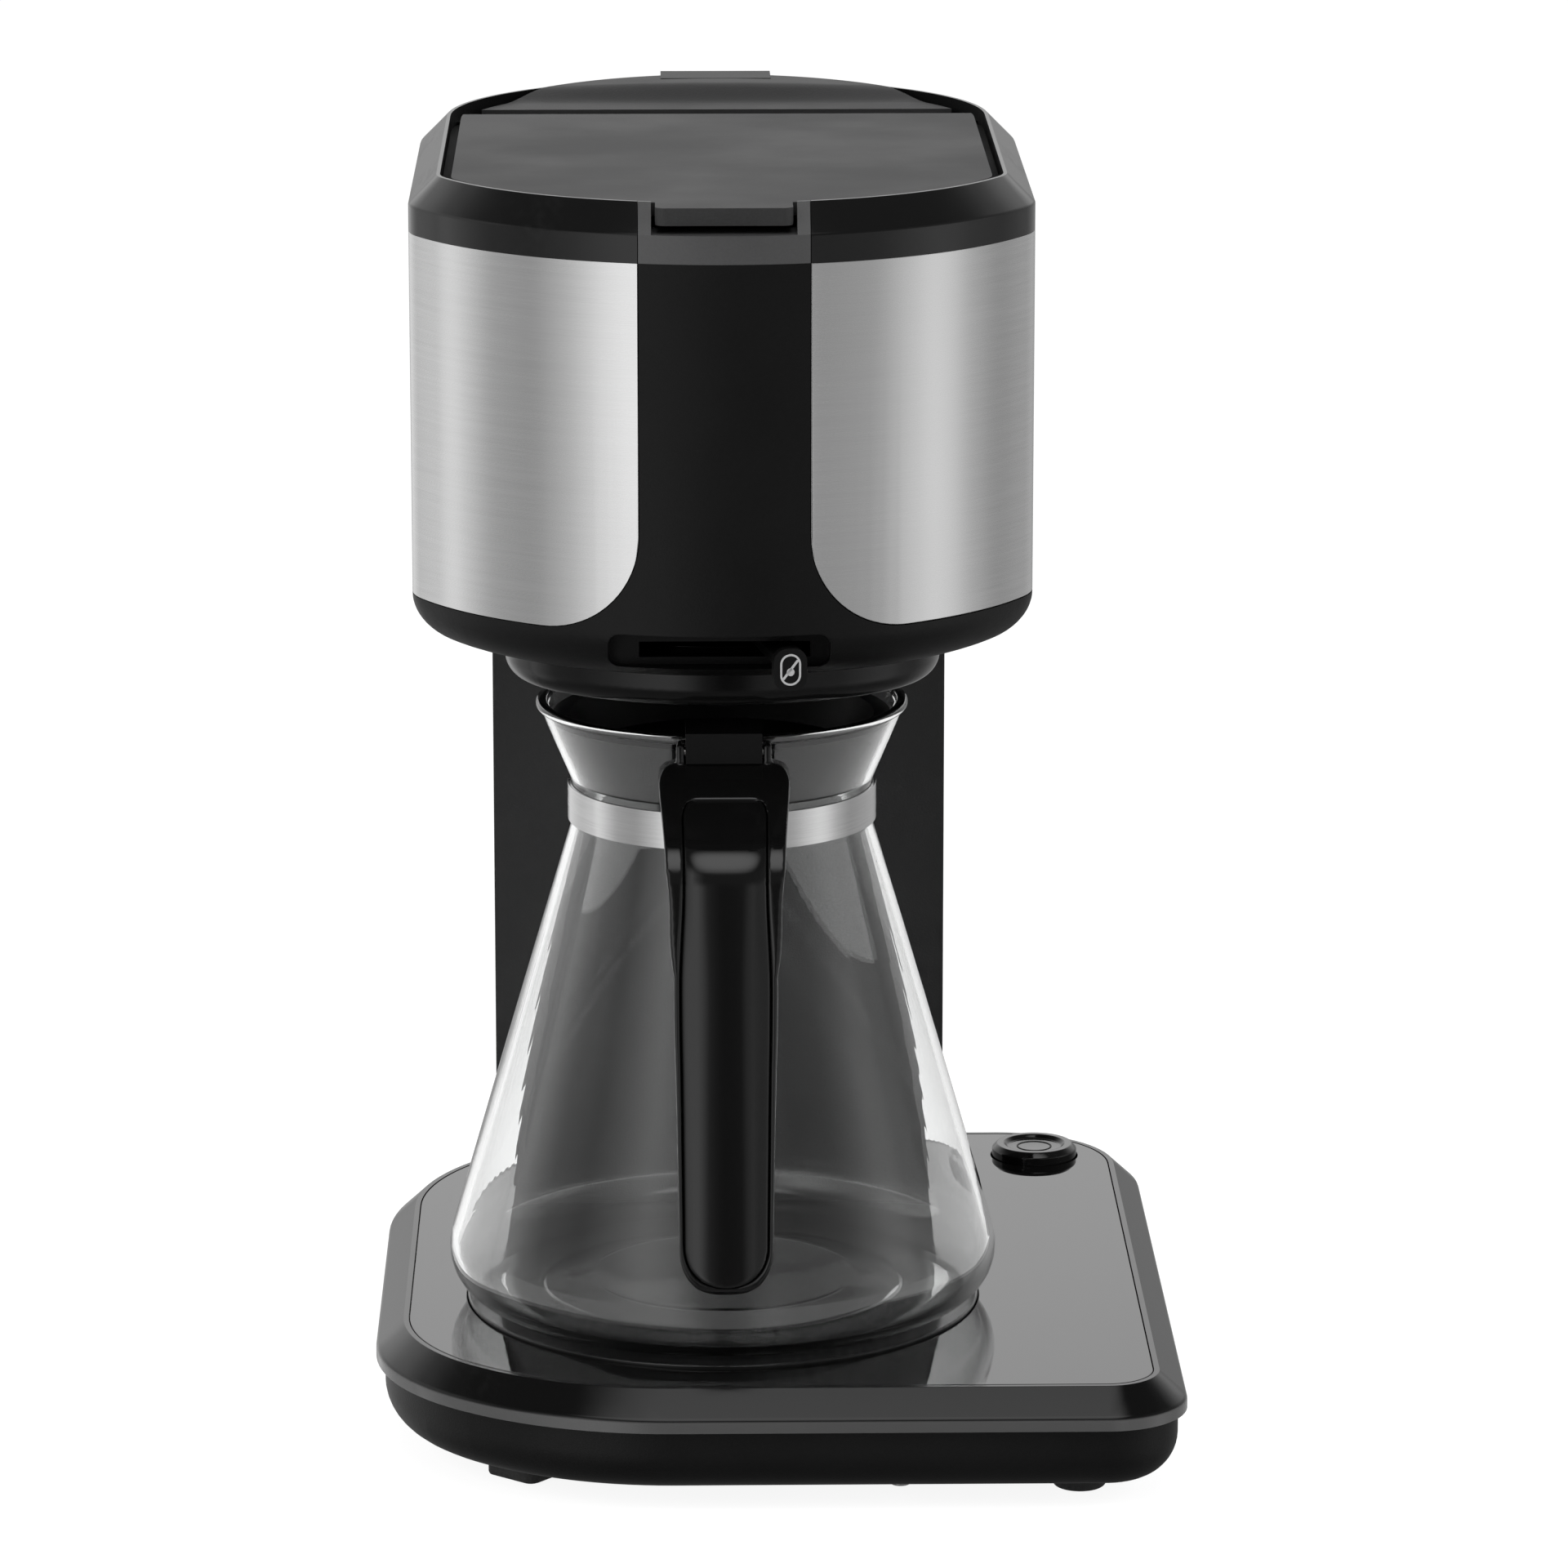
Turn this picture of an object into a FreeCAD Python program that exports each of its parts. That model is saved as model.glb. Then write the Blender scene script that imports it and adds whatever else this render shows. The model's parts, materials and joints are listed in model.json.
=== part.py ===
import FreeCAD, Part
import math
import os
from types import SimpleNamespace

import Sketcher
from FreeCAD import Vector

# Drip coffee maker with a glass carafe, in millimetres.
# Every piece is drawn about the brew axis, the vertical line through the carafe and the filter, and then
# shifted so that the origin lies on the table under the middle of the base. X runs to the right, Y to the
# back and Z up.

SIZES = [
    # Base
    ("base_left_reach", 94, "brew axis to the left side of the base"),
    ("base_right_reach", 122, "brew axis to the right side of the base"),
    ("base_front_reach", 93, "brew axis to the front of the base"),
    ("base_back_reach", 164, "brew axis to the back of the base"),
    ("corner_cut_width", 49, "width of the cut front left corner"),
    ("corner_cut_depth", 41, "depth of the cut front left corner"),
    ("corner_front_right", 22, "radius of the front right corner"),
    ("corner_back_right", 40, "radius of the back right corner"),
    ("corner_back_left", 80, "radius of the back left corner"),
    ("foot_height", 5.5, "gap between the table and the tub"),
    ("foot_radius", 7.2, "radius of a round foot"),
    ("foot_inset", 28, "foot centre to the sides of the base"),
    ("block_foot_length", 17, "length of the block foot along the cut corner"),
    ("block_foot_width", 12, "width of the block foot"),
    ("block_foot_inset", 24, "cut corner to the middle of the block foot"),
    ("tub_height", 18.3, "height of the tub"),
    ("tub_inset", 2.4, "step from the collar in to the tub"),
    ("tub_rounding", 12, "rounding of the bottom edge of the tub"),
    ("housing_wall", 2.5, "wall of the tub, the tower and the head"),
    ("collar_band", 3.4, "upright band of the base collar"),
    ("collar_chamfer_run", 7.4, "level run of the collar's chamfer"),
    ("collar_chamfer_rise", 6.8, "rise of the collar's chamfer"),
    ("collar_lip", 1.5, "flat lip between the chamfer and the deck"),
    ("collar_ledge", 10, "width of the ledge under the deck"),
    ("deck_thickness", 4, "thickness of the deck plate"),
    ("plate_gap", 1.5, "hotplate's flange to the edge of the ledge"),
    ("hotplate_rise", 1, "hotplate above the deck"),
    ("hotplate_thickness", 2.5, "thickness of the hotplate"),
    ("hotplate_flange", 3, "width of the flange under the deck"),
    ("seal_thickness", 1, "thickness of the flat seals"),
    ("heater_radius", 44, "middle radius of the heater's bend"),
    ("heater_width", 12, "width of the heater's section"),
    ("heater_height", 15, "height of the heater's section"),
    ("heater_leg", 30, "straight legs behind the heater's bend"),
    ("cutout_radius", 8, "radius of the thermostat"),
    ("cutout_height", 6, "height of the thermostat"),
    ("button_x", 92, "button centre to the right of the brew axis"),
    ("button_y", 133, "button centre behind the brew axis"),
    ("button_radius", 12.25, "radius of the power button"),
    ("button_rise", 3.6, "power button above the deck"),
    ("button_dish", 1, "depth of the dish in the button"),
    ("button_travel", 1.5, "travel of the power button"),
    ("board_length", 62, "length of the control board"),
    ("board_width", 42, "width of the control board"),
    ("board_thickness", 1.6, "thickness of the control board"),
    ("board_stand", 4, "control board above the tub's floor"),
    # Tower
    ("tower_half_width", 63.9, "half the width of the tower"),
    ("tower_front_y", 84, "brew axis to the flat front of the tower"),
    ("back_centre_reach", 77, "brew axis to the centre of the head's back"),
    ("hose_radius", 5, "outer radius of the hoses"),
    ("hose_bore", 3, "inner radius of the hoses"),
    ("hose_bend", 16, "bend radius of the hoses"),
    ("hose_side", 27, "hoses to the sides of the brew axis"),
    ("hose_y", 112, "brew axis to the upright runs of the hoses"),
    ("gland_height", 73, "cord gland above the table"),
    ("gland_radius", 7, "radius of the cord gland"),
    # Head
    ("head_half_width", 81.5, "half the width of the head"),
    ("head_front_radius", 89, "radius of the head's front about the brew axis"),
    ("head_blend", 24, "radius between the head's front and its sides"),
    ("bowl_run", 20, "level run of the head's rounded bottom"),
    ("bowl_height", 14.3, "head's underside to the steel panels"),
    ("steel_height", 95.5, "height of the steel panels"),
    ("steel_thickness", 1, "thickness of the steel panels"),
    ("strip_half_width", 22, "half the width of the strip between the panels"),
    ("strip_corner", 25, "radius of the lower front corners of the panels"),
    ("ring_band", 7.3, "upright band of the top ring"),
    ("ring_chamfer", 7.4, "chamfer of the top ring"),
    ("ring_lip", 1, "flat top of the ring inside its chamfer"),
    ("shelf_width", 5, "shelf under the lids"),
    ("shelf_thickness", 3, "thickness of the shelf under the lids"),
    ("lid_gap", 2.8, "gap between the lids and the ring"),
    ("lid_thickness", 3.5, "thickness of the lids"),
    ("lid_drop", 0.7, "lids below the top of the ring"),
    ("lid_dome", 2.6, "dome of the tank lid"),
    ("tab_width", 35, "width of the filter lid's tab"),
    ("tab_depth", 8, "filter lid's tab in front of the lid"),
    ("tab_thickness", 4.6, "thickness of the filter lid's tab"),
    ("tank_tab_width", 31, "width of the tank lid's tab"),
    ("tank_tab_depth", 5, "tank lid's tab behind the lid"),
    ("recess_half_width", 18.5, "half the width of the finger recess"),
    ("recess_depth", 7.4, "depth of the finger recess"),
    ("bar_front_y", 90.6, "brew axis to the front of the hinge bar"),
    ("bar_width", 6.6, "width of the hinge bar"),
    ("pin_radius", 1.5, "radius of the hinge pins"),
    ("pin_stand", 3.2, "hinge pins to the sides of the hinge bar"),
    ("pin_drop", 2.2, "hinge pins below the undersides of the lids"),
    ("knuckle_radius", 2.7, "radius of the hinge knuckles"),
    ("knuckle_length", 18, "length of a hinge knuckle"),
    ("knuckle_x", 31, "middle of a knuckle to the brew axis"),
    ("lug_length", 6, "length of a hinge lug"),
    ("lug_x", 52, "middle of a hinge lug to the brew axis"),
    ("tank_wall", 2, "wall of the tank"),
    ("tank_gap", 2, "gap between the tank and the head"),
    ("tank_stand", 14, "tank above the head's floor"),
    ("tank_foot_angle", 35, "tank's side feet behind the middle of its back, in degrees"),
    ("tank_headroom", 4, "tank's top below the ring"),
    ("spigot_radius", 4, "radius of the tank's spigot"),
    ("valve_radius", 7, "radius of the check valve"),
    ("valve_length", 22, "length of the check valve"),
    ("holder_top_radius", 69, "outer radius of the filter holder's rim"),
    ("holder_bottom_radius", 58, "outer radius of the filter holder's floor"),
    ("holder_wall", 2.2, "wall of the filter holder"),
    ("holder_rim", 3.5, "width of the filter holder's rim"),
    ("holder_headroom", 9, "filter holder's rim below the ring's lower edge"),
    ("holder_outlet", 17, "radius of the filter holder's outlet"),
    ("skirt_radius", 60, "outer radius of the filter holder's skirt"),
    ("spray_radius", 34, "radius of the spray head"),
    ("spray_height", 5, "height of the spray head"),
    ("spray_holes", 8, "number of holes in the spray head"),
    ("spray_hole_radius", 1.6, "radius of a hole in the spray head"),
    ("spout_reach", 30, "brew spout in front of the hinge bar"),
    # Drip stop
    ("dish_half_width", 57.5, "half the width of the outlet dish"),
    ("dish_front_radius", 68, "radius of the outlet dish's front about the brew axis"),
    ("dish_blend", 40, "radius between the outlet dish's front and its sides"),
    ("dish_rounding", 6, "rounding of the outlet dish's bottom edge"),
    ("dish_depth", 10, "outlet dish below the head"),
    ("dish_wall", 2, "wall of the outlet dish"),
    ("cup_radius", 54, "outer radius of the round cup in the outlet dish"),
    ("cup_bead", 3, "bead of the cup over the head's floor"),
    ("hub_radius", 25, "radius of the dish's hub"),
    ("hub_rise", 2.8, "hub above the head's floor"),
    ("pivot_radius", 4, "radius of the lever's pivot"),
    ("port_radius", 3, "radius of the outlet port"),
    ("port_reach", 18, "outlet port to the brew axis"),
    ("lever_angle", 10.4, "lever to the right of straight ahead"),
    ("lever_swing", 20.8, "swing of the lever"),
    ("lever_thickness", 2.6, "thickness of the lever's arm"),
    ("lever_width", 8, "width of the lever's arm"),
    ("pad_width", 8.7, "width of the lever's pad"),
    ("pad_height", 11, "height of the lever's pad"),
    ("pad_thickness", 2.6, "thickness of the lever's pad"),
    ("pad_drop", 6.5, "lever's pad below the arm"),
    ("slot_left", 30, "brew axis to the left end of the lever's recess"),
    ("slot_right", 27, "brew axis to the right end of the lever's recess"),
    ("slot_height", 9.7, "height of the lever's recess"),
    ("slot_drop", 2.6, "lower edge of the recess below the lever's arm"),
    ("slot_back_reach", 76, "brew axis to the back wall of the recess"),
    ("way_half_width", 22, "half the width of the lever's way through that wall"),
    # Carafe
    ("body_radius", 78.8, "carafe's cone carried down to its floor"),
    ("body_rounding", 14, "rounding of the carafe's lower edge"),
    ("neck_radius", 41.5, "radius of the carafe's neck"),
    ("neck_height", 132.5, "carafe's floor to the lower edge of the band"),
    ("band_height", 10, "height of the steel band"),
    ("band_thickness", 0.9, "thickness of the steel band"),
    ("rim_radius", 49.5, "radius of the carafe's rim"),
    ("flare_height", 22.7, "upper edge of the band to the rim"),
    ("glass_wall", 2.2, "wall of the carafe"),
    ("carafe_headroom", 11.45, "carafe's rim to the outlet dish"),
    ("punt_height", 2.5, "rise in the middle of the carafe's floor"),
    ("lid_depth", 17, "depth of the carafe lid"),
    ("lid_recess", 4, "edge of the carafe lid below the rim"),
    ("funnel_radius", 23, "radius of the funnel in the carafe lid"),
    ("lid_wall", 2.2, "wall of the carafe lid"),
    ("drip_hole", 7, "radius of the hole in the carafe lid"),
    ("lug_width", 20, "width of the carafe lid's hinge lug"),
    ("handle_reach", 92, "brew axis to the outer face of the handle"),
    ("handle_rise", 17, "upper edge of the band to the top of the handle"),
    ("handle_tip", 25, "carafe's floor to the tip of the handle"),
    ("handle_thickness", 12, "thickness of the grip"),
    ("bracket_width", 36, "width of the handle at the neck"),
    ("bracket_depth", 6.5, "depth of the flat top of the bracket"),
    ("bracket_drop", 34, "height of the bracket on the neck"),
    ("elbow_drop", 17, "handle's top to the elbow"),
    ("elbow_radius", 14, "radius of the elbow"),
    ("grip_width", 25.5, "width of the grip"),
    ("bracket_side", 20, "upright sides of the bracket"),
    ("shoulder_drop", 48, "handle's top to the end of the shoulders"),
    ("bracket_corner", 4.5, "radius of the upper corners of the bracket"),
    ("inlay_corner", 4, "radius of the upper corners of the inlay"),
    ("inlay_margin", 1.5, "edge of the handle round the inlay"),
    ("inlay_thickness", 2, "thickness of the inlay"),
    # Clearances and fasteners
    ("fit_gap", 0.2, "gap round fixed pieces"),
    ("running_gap", 0.35, "gap round moving pieces"),
    ("pin_gap", 0.05, "radial clearance of pins and pivots"),
    ("screw_radius", 1.5, "radius of a screw's shank"),
    ("screw_head", 3, "radius of a screw's head"),
    ("screw_head_height", 1.2, "height of a screw's head"),
    ("screw_length", 14, "length of a screw's shank"),
    ("boss_radius", 4, "radius of a screw boss"),
]

doc = FreeCAD.newDocument("coffee_maker")
sheet = doc.addObject("Spreadsheet::Sheet", "sizes")
for row, (alias, number, note) in enumerate(SIZES, start=1):
    sheet.set(f"A{row}", note)
    sheet.set(f"B{row}", str(number))
    sheet.setAlias(f"B{row}", alias)
doc.recompute()


class Size:
    """A number together with the sheet expression that gives it."""

    def __init__(self, value, text):
        self.value = value
        self.text = text

    def __add__(self, other):
        return combine(self, "+", other, lambda a, b: a + b)

    def __radd__(self, other):
        return combine(other, "+", self, lambda a, b: a + b)

    def __sub__(self, other):
        return combine(self, "-", other, lambda a, b: a - b)

    def __rsub__(self, other):
        return combine(other, "-", self, lambda a, b: a - b)

    def __mul__(self, other):
        return combine(self, "*", other, lambda a, b: a * b)

    def __rmul__(self, other):
        return combine(other, "*", self, lambda a, b: a * b)

    def __truediv__(self, other):
        return combine(self, "/", other, lambda a, b: a / b)

    def __neg__(self):
        return Size(-self.value, f"(0 - {self.text})")


def as_size(number):
    return number if isinstance(number, Size) else Size(float(number), repr(float(number)))


def combine(left, sign, right, work):
    left = as_size(left)
    right = as_size(right)
    return Size(work(left.value, right.value), f"({left.text} {sign} {right.text})")


def root(size):
    return Size(math.sqrt(size.value), f"sqrt({size.text})")


def least(first, second):
    return Size(min(first.value, second.value), f"min({first.text}; {second.text})")


def sine(size):
    return Size(math.sin(math.radians(size.value)), f"sin({size.text})")


def cosine(size):
    return Size(math.cos(math.radians(size.value)), f"cos({size.text})")


d = SimpleNamespace(**{alias: Size(float(number), f"sizes.{alias}") for alias, number, note in SIZES})

# Places that several pieces share

axis_x = (d.base_left_reach - d.base_right_reach) / 2
axis_y = (d.base_front_reach - d.base_back_reach) / 2
tub_floor_z = d.foot_height + d.housing_wall
collar_z = d.foot_height + d.tub_height
deck_top_z = collar_z + d.collar_band + d.collar_chamfer_rise
deck_bottom_z = deck_top_z - d.deck_thickness
deck_inset = d.collar_chamfer_run + d.collar_lip
ledge_inset = deck_inset + d.collar_ledge
hotplate_reach = least(d.base_left_reach, d.base_front_reach) - ledge_inset - d.plate_gap
hotplate_radius = hotplate_reach - d.hotplate_flange
hotplate_top_z = deck_top_z + d.hotplate_rise
plate_bottom_z = hotplate_top_z - d.hotplate_thickness
flange_top_z = deck_bottom_z - d.seal_thickness
flange_bottom_z = flange_top_z - d.seal_thickness
water_z = flange_bottom_z - d.hose_radius - 2 * d.running_gap
heater_z = plate_bottom_z - d.heater_height / 2
board_z = tub_floor_z + d.board_stand
board_top_z = board_z + d.board_thickness
board_x = d.tower_half_width + 2 * d.running_gap + d.board_width / 2
board_y = d.button_y - d.board_length / 3
boss_inset = ledge_inset - d.boss_radius / 2
button_flange = d.button_radius + 2 * d.button_dish

carafe_z = hotplate_top_z + d.running_gap
band_z = carafe_z + d.neck_height
band_top_z = band_z + d.band_height
rim_z = band_top_z + d.flare_height
handle_top_z = band_top_z + d.handle_rise
handle_tip_z = carafe_z + d.handle_tip
elbow_z = handle_top_z - d.elbow_drop

dish_bottom_z = rim_z + d.carafe_headroom
head_floor_z = dish_bottom_z + d.dish_depth
steel_bottom_z = head_floor_z + d.bowl_height
head_wall_inset = d.steel_thickness + d.fit_gap + d.housing_wall
head_inner_z = head_floor_z + d.housing_wall
ring_z = steel_bottom_z + d.steel_height
ring_top_z = ring_z + d.ring_band + d.ring_chamfer
opening_inset = d.ring_chamfer + d.ring_lip
lid_inset = opening_inset + d.lid_gap
shelf_inset = opening_inset + d.shelf_width
lid_top_z = ring_top_z - d.lid_drop
lid_bottom_z = lid_top_z - d.lid_thickness
shelf_top_z = lid_bottom_z - d.running_gap
pin_z = lid_bottom_z - d.pin_drop
front_pin_y = d.bar_front_y - d.pin_stand
bar_back_y = d.bar_front_y + d.bar_width
back_pin_y = bar_back_y + d.pin_stand
front_lid_back_y = front_pin_y - d.knuckle_radius - d.running_gap
tank_lid_front_y = back_pin_y + d.knuckle_radius + d.running_gap
bar_top_z = pin_z + d.knuckle_radius

hub_top_z = head_inner_z + d.hub_rise
lever_z = hub_top_z + d.seal_thickness + d.running_gap
lever_top_z = lever_z + d.lever_thickness
slot_z = lever_z - d.slot_drop
slot_top_z = slot_z + d.slot_height
holder_floor_z = lever_top_z + 2 * d.holder_wall
holder_top_z = ring_z - d.holder_headroom
tank_floor_z = head_inner_z + d.tank_stand
tank_top_z = ring_z - d.tank_headroom
tank_front_y = d.bar_front_y + d.fit_gap
tank_radius = d.head_half_width - head_wall_inset - d.tank_gap
valve_top_z = tank_floor_z - d.fit_gap
valve_bottom_z = valve_top_z - d.valve_length

BOWL_STEPS = 4
nodes = []


def keep(thing, label):
    """Give a finished piece its name and put it on the list of nodes."""
    thing.Label = label
    nodes.append(thing)
    return thing


def bind(thing, values):
    """Tie properties of an object to the sheet."""
    for name, size in values.items():
        thing.setExpression(name, as_size(size).text)
    return thing


def on_axis(thing, z=None):
    """Stand an object on the brew axis."""
    bind(thing, {"Placement.Base.x": axis_x, "Placement.Base.y": axis_y})
    if z is not None:
        bind(thing, {"Placement.Base.z": z})
    return thing


def new_body(name):
    return on_axis(doc.addObject("PartDesign::Body", name))


def new_sketch(body, name, plane="XY_Plane", offset=None):
    sketch = body.newObject("Sketcher::SketchObject", name)
    support = next(part for part in body.Origin.OriginFeatures if part.Role == plane)
    sketch.AttachmentSupport = [(support, "")]
    sketch.MapMode = "FlatFace"
    if offset is not None:
        bind(sketch, {"AttachmentOffset.Base.z": offset})
    return sketch


def hold(sketch, kind, places, size):
    """Add one measured constraint and tie its value to the sheet."""
    size = as_size(size)
    index = sketch.addConstraint(Sketcher.Constraint(kind, *places, size.value))
    sketch.setExpression(f"Constraints[{index}]", size.text)


def hold_point(sketch, shape, end, x, y):
    hold(sketch, "DistanceX", (shape, end), x)
    hold(sketch, "DistanceY", (shape, end), y)


def draw_outline(sketch, corners):
    """Draw a closed outline through corners (x, y) or (x, y, radius), listed once round."""
    corners = [tuple(as_size(value) for value in (*corner, 0)[:3]) for corner in corners]
    points = [Vector(x.value, y.value, 0) for x, y, radius in corners]
    count = len(points)
    starts, ends, turns = [], [], []
    for here in range(count):
        before = (points[here - 1] - points[here]).normalize()
        after = (points[(here + 1) % count] - points[here]).normalize()
        half = before.getAngle(after) / 2
        length = corners[here][2].value / math.tan(half)
        starts.append(points[here] + before * length)
        ends.append(points[here] + after * length)
        turns.append(after.cross(before).z)
    lines = []
    for here in range(count):
        line = Part.LineSegment(ends[here], starts[(here + 1) % count])
        lines.append(sketch.addGeometry(line))
    for here, (x, y, radius) in enumerate(corners):
        before = lines[here - 1]
        after = lines[here]
        if radius.value == 0:
            sketch.addConstraint(Sketcher.Constraint("Coincident", before, 2, after, 1))
            hold_point(sketch, after, 1, x, y)
            continue
        first, last = (starts[here], ends[here]) if turns[here] > 0 else (ends[here], starts[here])
        middle = (starts[here] + ends[here]) / 2 - points[here]
        reach = math.hypot(radius.value, (starts[here] - points[here]).Length)
        centre = points[here] + middle.normalize() * reach
        angles = [math.atan2(end.y - centre.y, end.x - centre.x) for end in (first, last)]
        circle = Part.Circle(centre, Vector(0, 0, 1), radius.value)
        arc = sketch.addGeometry(Part.ArcOfCircle(circle, *angles))
        mark = sketch.addGeometry(Part.Point(points[here]), True)
        hold_point(sketch, mark, 1, x, y)
        sketch.addConstraint(Sketcher.Constraint("PointOnObject", mark, 1, before))
        sketch.addConstraint(Sketcher.Constraint("PointOnObject", mark, 1, after))
        entry, leave = (1, 2) if turns[here] > 0 else (2, 1)
        sketch.addConstraint(Sketcher.Constraint("Tangent", before, 2, arc, entry))
        sketch.addConstraint(Sketcher.Constraint("Tangent", arc, leave, after, 1))
        hold(sketch, "Radius", (arc,), radius)


def draw_circle(sketch, x, y, radius):
    x, y, radius = as_size(x), as_size(y), as_size(radius)
    circle = Part.Circle(Vector(x.value, y.value, 0), Vector(0, 0, 1), radius.value)
    shape = sketch.addGeometry(circle)
    hold_point(sketch, shape, 3, x, y)
    hold(sketch, "Radius", (shape,), radius)


def draw_rectangle(sketch, left, right, bottom, top, radius=0):
    corners = [(left, bottom), (right, bottom), (right, top), (left, top)]
    draw_outline(sketch, [(x, y, radius) for x, y in corners])


def draw_half_round(sketch, radius, centre_y, front_y):
    """Draw a flat front with a round back, as the tower and the tank have."""
    drop = centre_y.value - front_y.value
    half = math.sqrt(radius.value**2 - drop**2)
    start = math.atan2(-drop, half)
    circle = Part.Circle(Vector(0, centre_y.value, 0), Vector(0, 0, 1), radius.value)
    arc = sketch.addGeometry(Part.ArcOfCircle(circle, start, math.pi - start))
    ends = [Vector(-half, front_y.value, 0), Vector(half, front_y.value, 0)]
    front = sketch.addGeometry(Part.LineSegment(*ends))
    sketch.addConstraint(Sketcher.Constraint("Coincident", arc, 2, front, 1))
    sketch.addConstraint(Sketcher.Constraint("Coincident", front, 2, arc, 1))
    sketch.addConstraint(Sketcher.Constraint("Horizontal", front))
    hold_point(sketch, arc, 3, 0, centre_y)
    hold(sketch, "Radius", (arc,), radius)
    hold(sketch, "DistanceY", (front, 1), front_y)


def draw_base(sketch, inset):
    """Draw the outline of the base, or one that lies inside it by the same distance all round."""
    width, depth = d.corner_cut_width, d.corner_cut_depth
    edge = root(width * width + depth * depth)
    front_share = depth / (edge + width)
    side_share = width / (edge + depth)
    half_edge = edge * 0.49
    left = inset - d.base_left_reach
    front = inset - d.base_front_reach
    right = d.base_right_reach - inset
    back = d.base_back_reach - inset
    draw_outline(sketch, [
        (width - d.base_left_reach + inset * front_share, front, half_edge / front_share - inset),
        (right, front, d.corner_front_right - inset),
        (right, back, d.corner_back_right - inset),
        (left, back, d.corner_back_left - inset),
        (left, depth - d.base_front_reach + inset * side_share, half_edge / side_share - inset),
    ])


def draw_plan(sketch, side, front, blend, back_centre):
    """Draw straight sides with a round back and a nose about the brew axis, blended into the sides."""
    reach = front.value - blend.value
    blend_x = side.value - blend.value
    blend_y = -math.sqrt(reach**2 - blend_x**2)
    tilt = math.atan2(blend_y, blend_x)
    up = Vector(0, 0, 1)
    centre_y = back_centre.value
    nose = Part.ArcOfCircle(Part.Circle(Vector(), up, front.value), -math.pi - tilt, tilt)
    right_blend = Part.ArcOfCircle(Part.Circle(Vector(blend_x, blend_y, 0), up, blend.value), tilt, 0)
    right = Part.LineSegment(Vector(side.value, blend_y, 0), Vector(side.value, centre_y, 0))
    back = Part.ArcOfCircle(Part.Circle(Vector(0, centre_y, 0), up, side.value), 0, math.pi)
    left = Part.LineSegment(Vector(-side.value, centre_y, 0), Vector(-side.value, blend_y, 0))
    left_circle = Part.Circle(Vector(-blend_x, blend_y, 0), up, blend.value)
    left_blend = Part.ArcOfCircle(left_circle, -math.pi, -math.pi - tilt)
    pieces = [nose, right_blend, right, back, left, left_blend]
    names = [sketch.addGeometry(piece) for piece in pieces]
    for here, there in zip(names, names[1:] + names[:1]):
        sketch.addConstraint(Sketcher.Constraint("Tangent", here, 2, there, 1))
    sketch.addConstraint(Sketcher.Constraint("Coincident", names[0], 3, -1, 1))
    sketch.addConstraint(Sketcher.Constraint("Vertical", names[2]))
    sketch.addConstraint(Sketcher.Constraint("Vertical", names[4]))
    hold(sketch, "Radius", (names[0],), front)
    hold(sketch, "Radius", (names[1],), blend)
    hold(sketch, "Radius", (names[5],), blend)
    hold(sketch, "Radius", (names[3],), side)
    hold_point(sketch, names[3], 3, 0, back_centre)


def draw_head(sketch, inset):
    """Draw the plan of the head, or one that lies inside it by the same distance all round."""
    draw_plan(sketch, d.head_half_width - inset, d.head_front_radius - inset, d.head_blend - inset,
              d.back_centre_reach)


def draw_dish(sketch, inset):
    """Draw the plan of the outlet dish, or one that lies inside it by the same distance all round."""
    draw_plan(sketch, d.dish_half_width - inset, d.dish_front_radius - inset, d.dish_blend - inset,
              as_size(0))


cuts = []


def add_feature(body, kind, name, sketch, values, settings):
    feature = body.newObject(f"PartDesign::{kind}", name)
    feature.Profile = sketch
    for setting, value in settings.items():
        setattr(feature, setting, value)
    bind(feature, values)
    body.Tip = feature
    if kind in ("Pocket", "Groove"):
        cuts.append(feature)
    return feature


def pad(body, name, length, draw, plane="XY_Plane", offset=None, **settings):
    """Raise a sketch, drawn by the function given, by a length."""
    sketch = new_sketch(body, f"{name}_sketch", plane, offset)
    draw(sketch)
    return add_feature(body, "Pad", name, sketch, {"Length": length}, settings)


def pocket(body, name, depth, draw, plane="XY_Plane", offset=None, **settings):
    """Cut a sketch into a body, to a depth or right through."""
    sketch = new_sketch(body, f"{name}_sketch", plane, offset)
    draw(sketch)
    if depth is None:
        return add_feature(body, "Pocket", name, sketch, {}, {"Type": "ThroughAll", **settings})
    return add_feature(body, "Pocket", name, sketch, {"Length": depth}, settings)


def turn(body, name, corners, kind="Revolution", angle=360):
    """Spin a profile of (radius, height) corners round the body's upright axis."""
    sketch = new_sketch(body, f"{name}_sketch", "XZ_Plane")
    draw_outline(sketch, corners)
    settings = {"ReferenceAxis": (sketch, ["V_Axis"])}
    return add_feature(body, kind, name, sketch, {"Angle": angle}, settings)


def loft(body, name, draw_low, low_z, draw_high, high_z):
    """Join two outlines at two heights with straight flanks."""
    low = new_sketch(body, f"{name}_low", offset=low_z)
    draw_low(low)
    high = new_sketch(body, f"{name}_high", offset=high_z)
    draw_high(high)
    return add_feature(body, "AdditiveLoft", name, low, {}, {"Sections": [(high, [""])], "Ruled": True})


def bowl(body, name, inset, run, low_z, rise):
    """A rounded bottom for the head: outlines that grow along a quarter of an ellipse."""
    outlines = []
    for step in range(BOWL_STEPS + 1):
        angle = math.pi / 2 * step / BOWL_STEPS
        outline = new_sketch(body, f"{name}_{step}", offset=low_z + rise * (1 - math.cos(angle)))
        draw_head(outline, inset + run * (1 - math.sin(angle)))
        outlines.append(outline)
    sections = [(outline, [""]) for outline in outlines[1:]]
    return add_feature(body, "AdditiveLoft", name, outlines[0], {}, {"Sections": sections})


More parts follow.
